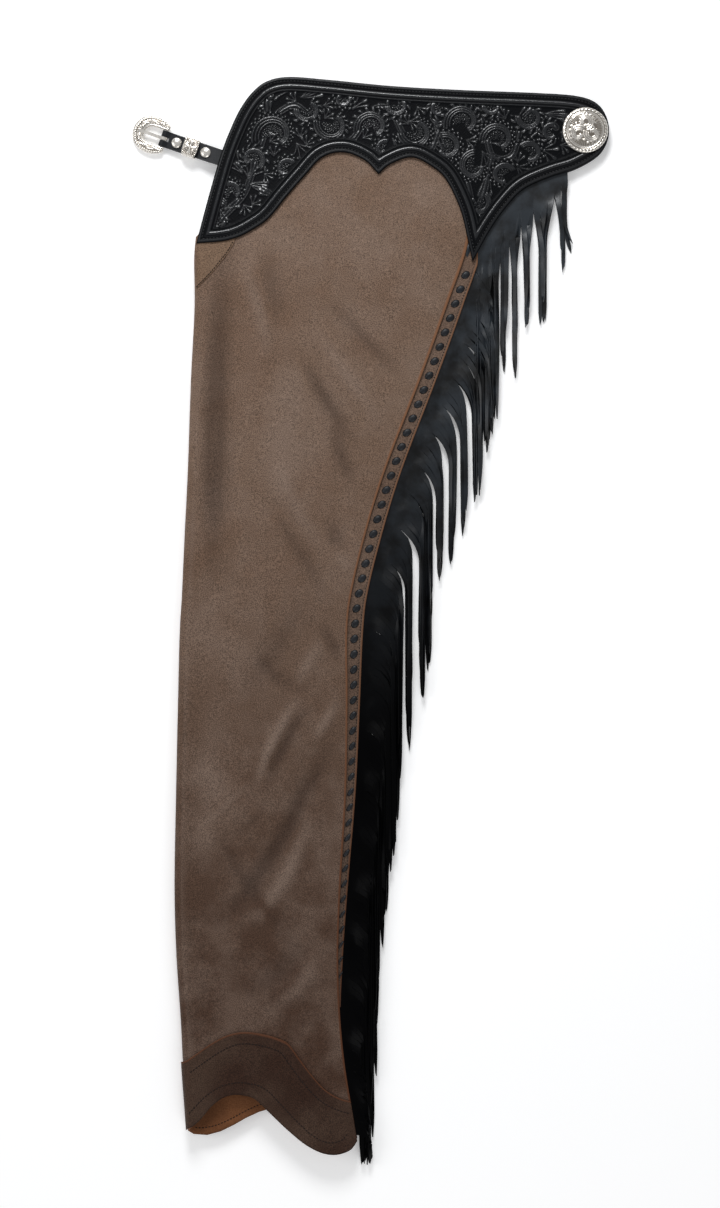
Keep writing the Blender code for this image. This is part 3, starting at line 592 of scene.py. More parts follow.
# The flesh side's tone is kept dark as painted shade, for the inside of the folded leg.
FLESH = plain_leather("flesh_side", (0.13, 0.052, 0.022), (0.19, 0.078, 0.033), 0.8, 0.0014, 0.5, 0.1)
CUT = plain_leather("cut_edge", (0.17, 0.07, 0.032), (0.23, 0.10, 0.05), 0.75, 0.0012, 0.4, 0.2)
CARVED = carved_leather()
BLACK = plain_leather("black_leather", (0.006, 0.007, 0.009), (0.012, 0.013, 0.016), 0.42, 0.0012, 0.25, 0.3)
FRINGE_LEATHER = fringe_leather()
THREAD = plain_leather("black_thread", (0.006, 0.006, 0.007), (0.012, 0.012, 0.013), 0.5, 0.0006, 0.3)
BROWN_THREAD = plain_leather("brown_thread", (0.012, 0.007, 0.005), (0.02, 0.011, 0.008), 0.6, 0.0006, 0.3, 0.2)
SILVER = engraved_silver()


# The legs.

def leg_surface(part, share, y, outer, inner, lift=0.0, relief=None):
    """Points on a leg's hide: part is 0 on the outer panel, 1 on the fold and 2 on the inner panel."""
    left, right = fold_x(y), seam_x(y)
    rise = outer(left + 6, y) - inner
    radius = FOLD_RADIUS_LEAST + (np.abs(rise) / 2 - FOLD_RADIUS_LEAST) * (1 - smooth((y - CROTCH) / 50))
    start = left + HIDE / 2 + radius
    facing = np.where(rise > 0, 1.0, -1.0)
    outer_x = start + (right - start) * share
    outer_z = outer(outer_x, y) + facing * lift
    if relief is not None:
        outer_z = outer_z + relief(outer_x, y)
        at_fold = relief(start, y)
    else:
        at_fold = 0.0
    turn = math.pi * share
    middle = outer(start, y) - facing * radius
    fold_at = start - (radius + lift) * np.sin(turn)
    fold_z = middle + facing * (radius + lift) * np.cos(turn) + at_fold * (1 - smooth(share * 2))
    inner_x = start + (right + INNER_PAST_SEAM - start) * share
    inner_z = middle - facing * (radius + lift)
    return (np.choose(part, [outer_x, fold_at, inner_x]), y, np.choose(part, [outer_z, fold_z, inner_z]))


def leg_ends(part, share):
    hem_left, hem_right = fold_x(-507) + 4, seam_x(-519)
    top_left, top_right = -174.0, 97.0
    along = hem_left + (hem_right - hem_left) * share
    hem = np.choose(part, [outer_hem(along), outer_hem(hem_left) * (1 - share) + inner_hem(hem_left) * share,
                           inner_hem(along)])
    top = np.choose(part, [outer_top(top_left + (top_right - top_left) * share),
                           outer_top(top_left) * (1 - share) + inner_top(top_left) * share,
                           inner_top(top_left + (90 - top_left) * share)])
    return hem, top


def leg_columns(outer_count, fold_count, inner_count):
    """The part and the share across it of each column, from the seam round the fold to the inner seam."""
    near_seam = np.array([0.0, 0.005, 0.0095, 0.013])
    outer = 1 - np.concatenate([near_seam, np.linspace(0.025, 1, outer_count, endpoint=False)])
    fold = np.arange(fold_count + 1) / fold_count
    inner = np.arange(1, inner_count + 1) / inner_count
    part = np.repeat([0, 1, 2], [len(outer), len(fold), len(inner)])
    return part, np.concatenate([outer, fold, inner])


def build_leg(name, node, outer, inner, counts, rows, relief):
    part, share = leg_columns(*counts)

    def point(column, row):
        hem, top = leg_ends(part[column], share[column])
        y = hem + (top - hem) * row / (rows - 1)
        return leg_surface(part[column], share[column], y, outer, inner, relief=relief)

    obj, column, row = grid_piece(name, len(part), rows, point, HIDE, [LEG, FLESH, CUT], "chaps", "leg_leather",
                                  node, lining=1, rim=2, flip=True)
    x, y, _ = point(column, row)
    # Paler on the folds' ridges and on the fold's edge, partly wear and partly painted highlight; darker in the folds'
    # hollows and the trough beside the edge, as painted shade.
    wear_and_fold_shading = np.zeros(len(x))
    for half_width, height, *points in LEG_FOLDS:
        away, along = near_line(x, y, points)
        wear_and_fold_shading += height / 2.3 * np.exp(-((away / (half_width * 0.8)) ** 2)) * np.sin(math.pi * along)
    wear_and_fold_shading += 0.45 * np.exp(-(((x - fold_x(y) - 5) / 5) ** 2)) - 0.5 * np.exp(-(((x - fold_x(y) - 27) / 14) ** 2)) * smooth(
        (y - 80) / 60)
    mark(obj, "wear_and_fold_shading", np.clip(wear_and_fold_shading, -1, 1) * (part[column] == 0))
    mark(obj, "cut", (part[column] == 0) * (share[column] > 0.99) * 1.0)
    return obj


def top_relief(x, y):
    return leg_relief(x, y)


def build_band():
    """The hem band, on the outer panel and half round the fold."""
    part, share = leg_columns(64, 10, 1)
    keep = 64 + 4 + 6
    part, share = part[:keep], share[:keep]
    rows = 24

    def point(column, row):
        hem, _ = leg_ends(part[column], share[column])
        y = hem + 0.3
        for _ in range(3):
            x, _, _ = leg_surface(part[column], share[column], y, top_outer, TOP_INNER)
            climb = np.where(row == rows - 1, 1.0, np.where(row == rows - 2, 0.982, row / (rows - 3) * 0.97))
            y = hem + 0.3 + (band_top(x) - hem - 0.3) * climb
        return leg_surface(part[column], share[column], y, top_outer, TOP_INNER, HIDE / 2 + GAP + TRIM / 2, top_relief)

    obj, column, row = grid_piece("hem_band_finish", keep, rows, point, TRIM, [BAND, FLESH, CUT], "chaps",
                                  "leg_leather", "hem_band", lining=1, rim=2, flip=True)
    mark(obj, "wear_and_fold_shading", np.zeros(len(column)))
    mark(obj, "cut", (row >= rows - 2) * 1.0)
    return obj


# The carved yoke.

def ridge(away, half_width, height):
    return height * np.exp(-((away / half_width) ** 2))


# Scrolls of the carving: centre, radius, where the curl starts and how far it turns, in degrees.
SCROLLS = (
    # x, y, radius, start, turn
    (-139, 428, 13, 250, -300), (-118, 462, 12, -60, 300), (-96, 486, 21, 205, -265), (-62, 512, 13, 170, 270),
    (-84, 452, 10, 30, 280), (-38, 497, 17, 160, 270), (-28, 523, 8, 20, -280), (2, 494, 17, 200, -270),
    (14, 472, 9, 60, 260), (27, 517, 11, 180, 280), (46, 490, 17, 180, 265), (68, 515, 9, 0, -280),
    (76, 474, 14, 120, -280), (93, 499, 18, 205, -270), (104, 455, 15, 80, 290), (122, 516, 9, 170, 270),
    (128, 482, 17, 190, -265), (108, 418, 12, 60, -290), (133, 446, 12, 20, 280), (160, 505, 13, 170, 270),
    (160, 468, 12, 150, -270), (181, 489, 9, 60, 270), (-150, 398, 8, 120, 260), (103, 390, 7, 120, 270),
    (-108, 520, 9, 10, 270),
)
# Sprays of leaves: root, direction, spread, number of leaves, length and how much they curl.
SPRAYS = (
    # x, y, direction, spread, leaves, length, curl
    (-122, 441, 75, 60, 5, 24, 8), (-121, 436, -10, 70, 5, 19, -6), (-128, 447, 118, 50, 4, 25, 5),
    (-104, 503, 95, 70, 5, 20, -5), (-74, 478, -60, 60, 4, 22, 6), (-70, 524, 20, 50, 4, 26, -5),
    (-50, 480, -25, 45, 4, 28, 6), (-18, 512, 60, 60, 5, 18, 5), (-16, 480, -60, 50, 4, 16, -4),
    (17, 500, 70, 60, 4, 22, 6), (22, 483, -50, 60, 5, 18, -5), (58, 509, 25, 50, 4, 24, 5),
    (63, 503, -62, 46, 5, 40, -8), (60, 480, -40, 40, 4, 24, 5), (92, 520, 10, 40, 4, 28, -4),
    (88, 470, -95, 60, 5, 24, 6), (111, 478, 40, 60, 4, 22, 5), (118, 446, -100, 60, 5, 26, -6),
    (112, 470, -60, 50, 4, 26, 6), (146, 498, 45, 60, 4, 22, -5), (146, 455, -30, 60, 4, 18, 5),
    (150, 480, -10, 50, 4, 24, 6), (176, 508, -5, 50, 4, 22, -4), (171, 472, -15, 60, 4, 18, 4),
    (105, 408, -80, 50, 4, 22, 4), (-150, 412, -100, 60, 4, 18, 4), (-95, 425, 160, 60, 4, 18, -5),
    (-146, 410, 60, 60, 4, 18, 5), (-82, 530, 175, 40, 3, 18, 4), (40, 524, 10, 30, 3, 24, 3),
    (-44, 532, 5, 30, 3, 26, -3), (184, 515, 10, 60, 4, 16, -4),
)
# The wavy stem that joins them.
STEMS = (
    ((-158, 388), (-146, 404), (-128, 424), (-120, 442), (-112, 468), (-100, 500), (-76, 516), (-56, 498),
     (-40, 480), (-18, 482), (0, 510), (20, 512), (34, 486), (58, 470), (72, 498), (94, 518), (112, 500),
     (122, 466), (142, 466), (152, 496), (172, 506), (186, 494)),
    ((63, 503), (78, 484), (92, 452), (100, 424), (103, 384)),
    ((122, 466), (116, 440), (108, 408), (102, 380)),
)


def spray_leaves(x, y, high, cx, cy, direction, spread_angle, leaves, length, curl, breadth=1.0):
    """Raises a fan of thin leaves, each ending in a drop."""
    near = np.nonzero((np.abs(x - cx) < length * 1.3) & (np.abs(y - cy) < length * 1.3))[0]
    for leaf in range(leaves):
        across_fan = leaf / (leaves - 1) - 0.5
        a = math.radians(direction + spread_angle * across_fan)
        reach = length * (1 - 0.35 * abs(across_fan))
        bend = curl * (1 if across_fan >= 0 else -1) * (0.4 + abs(across_fan))
        t = np.linspace(0, 1, 6)
        points = np.stack([cx + reach * t * math.cos(a) - bend * t * t * math.sin(a),
                           cy + reach * t * math.sin(a) + bend * t * t * math.cos(a)], axis=1)
        away, along = near_line(x[near], y[near], points)
        width = breadth * (0.55 + 0.85 * smooth((along - 0.6) / 0.35))
        high[near] = np.maximum(high[near], ridge(away, width, 1.0) * (0.5 + 0.5 * along))


def carving(x, y, edge):
    """The raised work of the yoke, from 0 in the ground up to about 1."""
    high = np.zeros(len(x))
    for points in STEMS:
        away, along = near_line(x, y, smooth_line(np.array(points, float), 8))
        high = np.maximum(high, ridge(away, 1.3, 0.85))
        high = np.maximum(high, ridge(away - 2.8, 0.6, 0.6))
    for spray in SPRAYS:
        spray_leaves(x, y, high, *spray)
    for kind, (cx, cy, radius, start, turn) in enumerate(SCROLLS):
        radius *= 1.12
        near = np.nonzero((np.abs(x - cx) < radius * 1.5) & (np.abs(y - cy) < radius * 1.5))[0]
        dx, dy = x[near] - cx, y[near] - cy
        rho = np.hypot(dx, dy)
        angle = np.arctan2(dy, dx)
        gone = np.mod((np.degrees(angle) - start) * math.copysign(1, turn), 360) / abs(turn)
        curl = radius * (1 - 0.52 * gone)
        on = smooth(gone / 0.05) * smooth((1 - gone) / 0.05)
        work = np.zeros(len(near))
        for ratio, width, height in ((1.0, 0.85, 1.0), (0.85, 0.75, 0.9), (0.71, 0.65, 0.8)):
            work = np.maximum(work, ridge(rho - curl * ratio, width, height))
        petals = round(radius * 1.15)
        outer = ridge(rho - curl * 1.0 - 2.4, 0.85, 1.0) * np.clip(np.cos(angle * petals) * 1.4, 0, 1)
        outer = np.maximum(outer, ridge(rho - curl * 1.0 - 4.6, 0.95, 0.95)
                           * np.clip(-np.cos(angle * petals) * 1.4, 0, 1))
        if kind % 2:
            swirl = np.cos(angle * petals * 0.8 + (rho / curl - 1) * 6 * math.copysign(1, turn))
            outer = (smooth((rho - curl - 1.2) / 0.9) * smooth((curl + 6.0 - rho) / 1.5)
                     * np.clip(swirl * 1.3, 0, 1))
        work = np.maximum(work, outer)
        heart = smooth((0.60 - rho / curl) / 0.06)
        seeds = np.cos(rho * math.tau / 2.9) * np.cos(angle * round(radius * 0.8))
        work = np.maximum(work, heart * np.clip(0.1 + seeds * 1.3, 0, 0.95))
        # Each scroll lies over what is round it, with a sunk line between.
        covers = smooth((curl + 6.2 - rho) / 1.2) * on
        high[near] = np.maximum(high[near] * (1 - 0.92 * covers), work * on)
    # Small leaves wherever the ground is still bare.
    number = 0
    for cy in np.arange(362, 540, 6.2):
        for cx in np.arange(-170, 200, 6.6):
            number += 1
            px, py = cx + 1.6 * spread(number, 1.0), cy + 1.6 * spread(number, 2.0)
            near = np.nonzero((np.abs(x - px) < 3.6) & (np.abs(y - py) < 3.6))[0]
            if len(near) > 8 and edge[near].min() > 15.5 and high[near].max() < 0.55:
                heading = 40 + 120 * spread(number, 3.0)
                spray_leaves(x, y, high, px - 4 * math.cos(math.radians(heading)),
                             py - 4 * math.sin(math.radians(heading)), heading, 70, 4, 10.5, 2, 0.85)
    pebbles = 0.2 * (np.cos(x * 2.5 + 1.3 * np.sin(y * 0.9)) * np.cos(y * 2.5 + 1.1 * np.sin(x * 0.8)) + 0.3)
    high = np.maximum(high, np.clip(pebbles, 0, 1))
    return high * smooth((edge - 14.0) / 1.6)


def smooth_line(points, pieces):
    """A smooth line through points."""
    line = []
    for i in range(len(points) - 1):
        a, b = points[i], points[i + 1]
        before, after = points[max(i - 1, 0)], points[min(i + 2, len(points) - 1)]
        for k in range(pieces):
            t = k / pieces
            line.append(a * (1 + 2 * t) * (1 - t) ** 2 + (b - before) / 2 * t * (1 - t) ** 2
                        + b * t * t * (3 - 2 * t) + (after - a) / 2 * t * t * (t - 1))
    line.append(points[-1])
    return np.array(line)


def border(edge):
    """The moulding round the yoke, by the distance from its edge."""
    rounding = -0.9 * np.clip(1 - edge / 1.4, 0, 1) ** 2
    lines = (-ridge(edge - 4.0, 0.7, 0.45) - ridge(edge - 6.6, 0.8, 0.6) + ridge(edge - 9.0, 1.5, 0.55)
             - ridge(edge - 11.6, 0.75, 0.8) + ridge(edge - 13.1, 0.7, 0.25))
    return rounding + lines


def yoke_middle(x, y):
    return top_outer(x, y) + HIDE / 2 + GAP + YOKE / 2


def build_yoke():
    outline = rounded_outline(YOKE_OUTLINE, 1.5)
    depths = (0.7, 1.5, 2.6, 3.3, 4.0, 4.7, 5.7, 6.6, 7.5, 8.3, 9.0, 9.8, 10.6, 11.2, 11.7, 12.3, 13.1, 14.0)
    step = 0.86
    more = np.vstack([inset_rings(outline, depths, 1.5), lattice_inside(outline, step, 14.8)])
    closed = np.vstack([outline, outline[:1]])
    obj, fine = draped_piece("carved_yoke", outline, more, lambda x, y: 0 * x, lambda x, y: 0 * x,
                             [CARVED], "chaps", "yoke_leather", "yoke")
    points = flat_points(obj)
    x, y = points[:, 0], points[:, 1]
    edge, _ = near_line(x, y, closed)
    high = carving(x, y, edge)
    top = (yoke_middle(x, y) + YOKE / 2 + border(edge) * 1.0 - 0.55 * smooth((edge - 13.6) / 1.2) + 1.25 * high)
    upper = np.arange(len(x)) < fine
    points[:, 2] = np.where(upper, top, yoke_middle(x, y) - YOKE / 2)
    set_points(obj, points)
    # The border's beads are marked with the raised work, so they take its painted highlight.
    bead = ridge(edge - 9.0, 1.6, 0.8) + ridge(edge - 13.1, 0.8, 0.35) + ridge(edge - 1.8, 1.2, 0.5)
    mark(obj, "relief", np.clip(np.where(upper, np.maximum(high, bead), 0.2), 0, 1))
    return obj


def build_under_yoke():
    outline = rounded_outline(YOKE_OUTLINE, 4.0)
    obj, _ = draped_piece("under_yoke_finish", outline, lattice_inside(outline, 16, 6), lambda x, y: 0 * x + YOKE,
                          lambda x, y: 0 * x, [BLACK], "chaps", "yoke_leather", "under_yoke")
    return obj


# Gore and seam strip.

def build_gore():
    yoke_edge = curve_of([row[:2] for row in YOKE_OUTLINE[:4]])
    left, right = -173.5, -135.5
    count = 22

    def point(column, row):
        x = left + (right - left) * column / (count - 1)
        low, high = gore_edge(x), yoke_edge(x) + 5.0
        y = low + np.maximum(high - low, 0.5) * row / (count - 1)
        return x, y, top_outer(x, y) + HIDE / 2 + GAP + 0.15 + 0.5 * top_relief(x, y)

    obj, column, row = grid_piece("front_gore_finish", count, count, point, 0.9, [GORE, FLESH, CUT], "chaps",
                                  "gore_leather", "front_gore", lining=1, rim=2)
    mark(obj, "wear_and_fold_shading", 0.3 * np.ones(len(column)))
    mark(obj, "cut", np.zeros(len(column)))
    return obj


def seam_height(y):
    return top_outer(seam_x(np.minimum(y, 378)), y)


def strip_edges(y):
    left = seam_x(y) - STRIP_OVERLAP - (16.0 - strip_shows(y)) * 0.8
    return left, np.minimum(seam_x(y) + np.maximum(strip_shows(y), 0.4), 107.3)


def build_strip():
    rows, columns, top, bottom = 260, 12, 371.0, -386.0

    def point(column, row):
        y = bottom + (top - bottom) * row / (rows - 1)
        left, right = strip_edges(y)
        share = np.where(column == columns - 1, 1.0, np.where(column == columns - 2, 0.94,
                                                            0.89 * (column / (columns - 3)) ** 0.8))
        x = left + (right - left) * share
        crown = 0.35 * np.sin(math.pi * column / (columns - 1))
        return x, y, seam_height(y) - HIDE / 2 - GAP - TRIM / 2 + crown

    obj, column, row = grid_piece("seam_strip_finish", columns, rows, point, TRIM, [STRIP, FLESH, CUT], "chaps",
                                  "leg_leather", "seam_strip", lining=1, rim=2)
    mark(obj, "wear_and_fold_shading", 0.2 * np.ones(len(column)))
    mark(obj, "cut", (column >= columns - 2) * 0.8)
    return obj


def build_lacing():
    """The black buckstitching down the strip."""
    bm = bmesh.new()
    y = 346.0
    while y > -372:
        left, right = seam_x(y), strip_edges(y)[1]
        shown = right - left
        if shown > 3.0:
            slope = math.atan2(float(seam_x(y + 4) - seam_x(y - 4)), 8.0)
            size = min(1.0, shown / 15.0)
            centre = Vector((float(left + shown * 0.47), y, float(seam_height(y)) - HIDE / 2 - GAP + 0.35))
            turn = Matrix.Rotation(-slope - 0.6, 4, "Z") @ Matrix.Diagonal((3.7 * size, 5.0, 1.5, 1))
            bmesh.ops.create_icosphere(bm, subdivisions=2, radius=1.0, matrix=Matrix.Translation(centre) @ turn)
        y -= 15.3 * math.cos(math.atan2(float(seam_x(y + 4) - seam_x(y - 4)), 8.0))
    return place("buckstitching", bm, [BLACK], "chaps", "yoke_leather")


def run_stitches(bm, line, height, pitch, size):
    """Thread stitches along a line, each a small rounded bar."""
    line = np.asarray(line, float)
    lengths = np.linalg.norm(np.diff(line, axis=0), axis=1)
    run = np.concatenate([[0], np.cumsum(lengths)])
    for at in np.arange(pitch / 2, run[-1], pitch):
        x, y = np.interp(at, run, line[:, 0]), np.interp(at, run, line[:, 1])
        ahead = np.interp(at + 0.5, run, line[:, 0]) - np.interp(at - 0.5, run, line[:, 0])
        aside = np.interp(at + 0.5, run, line[:, 1]) - np.interp(at - 0.5, run, line[:, 1])
        turn = Matrix.Rotation(math.atan2(aside, ahead), 4, "Z") @ Matrix.Diagonal((*size, 1))
        where = Matrix.Translation((x, y, float(height(x, y))))
        bmesh.ops.create_icosphere(bm, subdivisions=1, radius=1.0, matrix=where @ turn)


def beside(line, away):
    """A line moved sideways to its right by the given distance."""
    line = np.asarray(line, float)
    along = np.gradient(line, axis=0)
    along /= np.linalg.norm(along, axis=1)[:, None]
    return line + away * np.stack([along[:, 1], -along[:, 0]], axis=1)


def build_stitching():
    outline = rounded_outline(YOKE_OUTLINE, 1.5)
    around = inset_rings(outline, (4.0,), 1.4)
    bm = bmesh.new()
    run_stitches(bm, around, lambda x, y: yoke_middle(x, y) + YOKE / 2 - 0.35, 3.4, (1.35, 0.5, 0.45))
    place("yoke_stitching", bm, [THREAD], "chaps", "yoke_leather")
    bm = bmesh.new()
    lift = HIDE / 2 + GAP + TRIM
    on_band = lambda x, y: top_outer(x, y) + top_relief(x, y) + lift + 0.1
    across_hem = np.linspace(-187, -14, 120)
    top_line = beside(np.stack([across_hem, band_top(across_hem)], axis=1), 11.5)
    low_line = beside(np.stack([across_hem, outer_hem(across_hem)], axis=1), -12.5)
    for line in (top_line, low_line):
        keep = (line[:, 0] > fold_x(line[:, 1]) + 2) & (line[:, 0] < seam_x(line[:, 1]) - 3)
        run_stitches(bm, line[keep], on_band, 3.3, (1.45, 0.65, 0.4))
    on_gore = lambda x, y: top_outer(x, y) + HIDE / 2 + GAP + 0.8 + 0.5 * top_relief(x, y)
    across_gore = np.linspace(-173, -136, 30)
    gore_line = beside(np.stack([across_gore, gore_edge(across_gore)], axis=1), -1.6)
    run_stitches(bm, gore_line, on_gore, 2.8, (1.2, 0.6, 0.4))
    inner_line = np.linspace(-176, -95, 40)
    run_stitches(bm, np.stack([inner_line, inner_hem(inner_line) + 7.5], axis=1),
                 lambda x, y: TOP_INNER + HIDE / 2 + 0.1, 3.3, (1.3, 0.55, 0.35))
    down = np.arange(352.0, -378.0, -4.0)
    strip_line = np.stack([strip_edges(down)[1] - 2.6, down], axis=1)[strip_shows(down) > 5.5]
    run_stitches(bm, strip_line, lambda x, y: seam_height(y) - HIDE / 2 - GAP + 0.12, 3.0, (1.3, 0.5, 0.35))
    place("leg_stitching", bm, [BROWN_THREAD], "chaps", "leg_leather")


# The fringe.

# Down the seam: how far out the fringe swings before it hangs straight.
SWING_OUT = ((-520, 12), (-400, 21), (-300, 24), (-200, 22), (-100, 25), (0, 31), (100, 36), (300, 37), (352, 36))
# The longest strands' tips across the garment.
STRAND_TIPS = ((-20, -544), (5, -544), (8, -372), (11, -345), (13, -310), (18, -285), (22, -250), (31, -172),
               (40, -130), (47, -95), (57, -65), (62, 10), (70, 45), (85, 60), (98, 100), (108, 120),
               (120, 180), (134, 232), (149, 238), (155, 283), (179, 305), (190, 352), (207, 350))
STRAND_PITCH = 7.3
LONGEST_STRAND = 255.0
swing_out = curve_of(SWING_OUT)


def seam_side(y):
    """Where the fringe comes out from under the strip."""
    return seam_x(y) + np.maximum(strip_shows(y), 0.0)


def fringe_slits():
    """The lines between neighbouring strands: each one's root, the way it leaves, its bend's length, how far
    down it the cut starts, and the clump that the strand after it hangs in."""
    yoke_edge = smooth_line(np.array(FRINGE_ROOT, float), 8)
    down = np.arange(350.0, -519.0, -2.0)
    line = np.vstack([yoke_edge, np.stack([seam_side(down), down], axis=1)])
    run = np.concatenate([[0], np.cumsum(np.linalg.norm(np.diff(line, axis=0), axis=1))])
    at = np.arange(2.0, run[-1], STRAND_PITCH)
    x, y = np.interp(at, run, line[:, 0]), np.interp(at, run, line[:, 1])
    on_seam = smooth((at - 105) / 90)
    slope = (seam_side(y + 5) - seam_side(y - 5)) / 10
    leaving = -86 * (1 - on_seam) + (np.degrees(np.arctan2(-slope, 1)) - 14) * on_seam
    bend = 30 * (1 - on_seam) + swing_out(y) / 0.56 * on_seam
    clump = np.zeros(len(at), int)
    k, number = 0, 0
    while k < len(at):
        usual = 2.2 if at[k] < 120 else 3.6
        size = max(1, round(usual * (1 + 0.45 * spread(number, 8.0))))
        clump[k:k + size] = number
        k, number = k + size, number + 1
    opening = np.concatenate([[True], np.diff(clump) > 0])
    uneven = np.array([spread(n, 7.0) for n in range(len(at))])
    cut_yoke = 22 + 22 * smooth(at / 70)
    usual_cut = cut_yoke * (1 - on_seam) + (0.20 * bend + 3) * on_seam
    cut = usual_cut * np.where(opening, 0.85 + 0.2 * uneven, 1.05 + 0.35 * uneven)
    return x, y, leaving, bend, cut, clump


def hanging_line(x, y, leaving, bend, distances):
    """Places at distances along a line that leaves its root one way and bends to hang straight down."""
    steps = np.diff(distances)
    middles = (distances[:-1] + distances[1:]) / 2
    way = np.radians(leaving + (-90 - leaving) * smooth(middles / bend))
    path = np.zeros((len(distances), 2))
    path[1:, 0], path[1:, 1] = np.cumsum(np.cos(way) * steps), np.cumsum(np.sin(way) * steps)
    inward = distances[0]
    start = np.array([x + inward * math.cos(math.radians(leaving)), y + inward * math.sin(math.radians(leaving))])
    return start + path


def head_height(x, y):
    """The uncut part's middle, from where it is sewn in down to where it rests on the fringe beneath."""
    held = np.where(y > 364, top_outer(x, y) + HIDE / 2 - FRINGE / 2 - 0.3,
                    seam_height(y) - HIDE / 2 - 2 * GAP - TRIM - FRINGE / 2)
    out = np.maximum(0, x - seam_side(y) - 1)
    out = np.where(y > 350, np.maximum(0, 448 - y - 0.75 * (199 - np.minimum(x, 199))) * 0.6, out)
    swell = 2.0 * np.sin(y / 8.5 + x / 19.0) + 1.4 * np.sin(y / 21.0 - x / 11.0)
    return 7.8 + (held - 7.8) * np.exp(-out / 22) + swell * smooth(out / 14)


HEAD_ROWS = 8
STRAND_ROWS = 20
STRAND_COLUMNS = (-1.0, -0.84, 0.84, 1.0)


def build_fringe(name, salt, node, base_level, layer_step, levelled):
    """A leg's fringe: one sheet, uncut at the head, whose strands part at the slits and hang in layers."""
    x, y, leaving, bend, cut, clump = fringe_slits()
    count = len(x) - 1
    ends = [hanging_line((x[k] + x[k + 1]) / 2, (y[k] + y[k + 1]) / 2, (leaving[k] + leaving[k + 1]) / 2,
                         (bend[k] + bend[k + 1]) / 2, np.linspace(0, (bend[k] + bend[k + 1]) / 2, 12))[-1]
            for k in range(count)]
    bent_x, bent_y = np.array(ends).T
    bm = bmesh.new()
    for k in range(count):
        number = k + salt
        with_it = bent_x[clump[:count] == clump[k]]
        swaying = 2.6 * spread(clump[k], 9.0)
        target = with_it.mean() + swaying + 0.2 * (bent_x[k] - with_it.mean()) + 1.3 * spread(number, 2.0)
        sway = target - bent_x[k]
        bend_here = (bend[k] + bend[k + 1]) / 2
        tip_y = np.interp(target, *np.array(STRAND_TIPS, float).T)
        reach = bend_here + (bent_y[k] - tip_y)
        reach = min(reach, LONGEST_STRAND + 25 * spread(number, 4.0)) * (1 - 0.32 * abs(spread(number, 5.0)) ** 1.5)
        reach = min(max(reach, bend_here * 0.7 + 22), bent_y[k] + 543.4 + bend_here)
        t = np.linspace(0, 1, STRAND_ROWS + 1)[1:]
        head = np.concatenate([[-9.0, -3.0], cut[k] * np.linspace(0.12, 1, HEAD_ROWS - 2)])
        head_next = np.concatenate([[-9.0, -3.0], cut[k + 1] * np.linspace(0.12, 1, HEAD_ROWS - 2)])
        reach = max(reach, max(cut[k], cut[k + 1]) + 15)
        u_one = np.concatenate([head, cut[k] + (reach - cut[k]) * t])
        u_two = np.concatenate([head_next, cut[k + 1] + (reach - cut[k + 1]) * t])
        t = np.concatenate([np.zeros(HEAD_ROWS), t])
        first = hanging_line(x[k], y[k], leaving[k], bend[k], u_one)
        second = hanging_line(x[k + 1], y[k + 1], leaving[k + 1], bend[k + 1], u_two)
        past = (u_one + u_two) / 2 - (cut[k] + cut[k + 1]) / 2
        parted = np.where(t > 0, smooth(past / 12), 0.0)[:, None]
        drift = (sway * smooth(past / 45) + 1.3 * spread(number, 3.0) * np.sin(4.0 * t + number) * smooth(t * 3)
                 + (9 * t**3 if k == 0 else 0))
        centre = (first + second) / 2 + np.stack([drift, 0 * drift], axis=1)
        along = np.gradient(centre, axis=0)
        along /= np.linalg.norm(along, axis=1)[:, None] + 1e-9
        aside = np.stack([along[:, 1], -along[:, 0]], axis=1)
        aside *= np.sign(((first - second) * aside).sum(axis=1))[:, None]
        twist = 1.35 * spread(clump[k] * 3 + number % 3, 3.0) * smooth(t * 2.5) + 0.45 * np.sin(5 * t + number) * t
        twist = twist * (0.3 if levelled else 1)
        half = STRAND_PITCH / 2 * (0.97 - 0.27 * smooth(t * 6) - 0.2 * t)
        half[-2:] *= (0.75, 0.3)
        tip_slant = np.zeros((len(t), 2))
        tip_slant[-1] = along[-1] * 2.5 * spread(number, 6.0)
        own = (half * np.cos(twist))[:, None] * aside + tip_slant
        one = first * (1 - parted) + (centre + own) * parted
        two = second * (1 - parted) + (centre - own) * parted
        level = base_level + layer_step * (k * 5 % 7) + 0.35 * np.sin(6 * t + number)
        settle = np.where(t > 0, smooth(past / 60), 0.0)
        verts = bmesh.ops.create_grid(bm, x_segments=len(STRAND_COLUMNS) - 1, y_segments=len(t) - 1, size=0.5)["verts"]
        for vert in verts:
            row = round((0.5 - vert.co.y) * (len(t) - 1))
            side = STRAND_COLUMNS[round((vert.co.x + 0.5) * (len(STRAND_COLUMNS) - 1))]
            px, py = one[row] * (1 + side) / 2 + two[row] * (1 - side) / 2
            z = level[row]
            if not levelled:
                z = float(head_height(px, py)) * (1 - settle[row]) + level[row] * settle[row]
            elif row < HEAD_ROWS:
                z = base_level + 0.9
            else:
                z = (base_level + 0.9) * (1 - settle[row]) + level[row] * settle[row]
            z += side * half[row] * math.sin(twist[row]) * parted[row, 0]
            vert.co = (px, py, max(z, base_level - 0.2))
    bmesh.ops.remove_doubles(bm, verts=bm.verts, dist=0.0005)
    bmesh.ops.recalc_face_normals(bm, faces=bm.faces)
    obj = place(name, bm, [FRINGE_LEATHER], "chaps", "fringe_leather", node)
    thicken(obj, FRINGE - 0.1, even=False)
    return obj


# Silver and the buckle strap.
CONCHO_AT = (215.0, 491.5)
CONCHO_RADIUS = 22.8


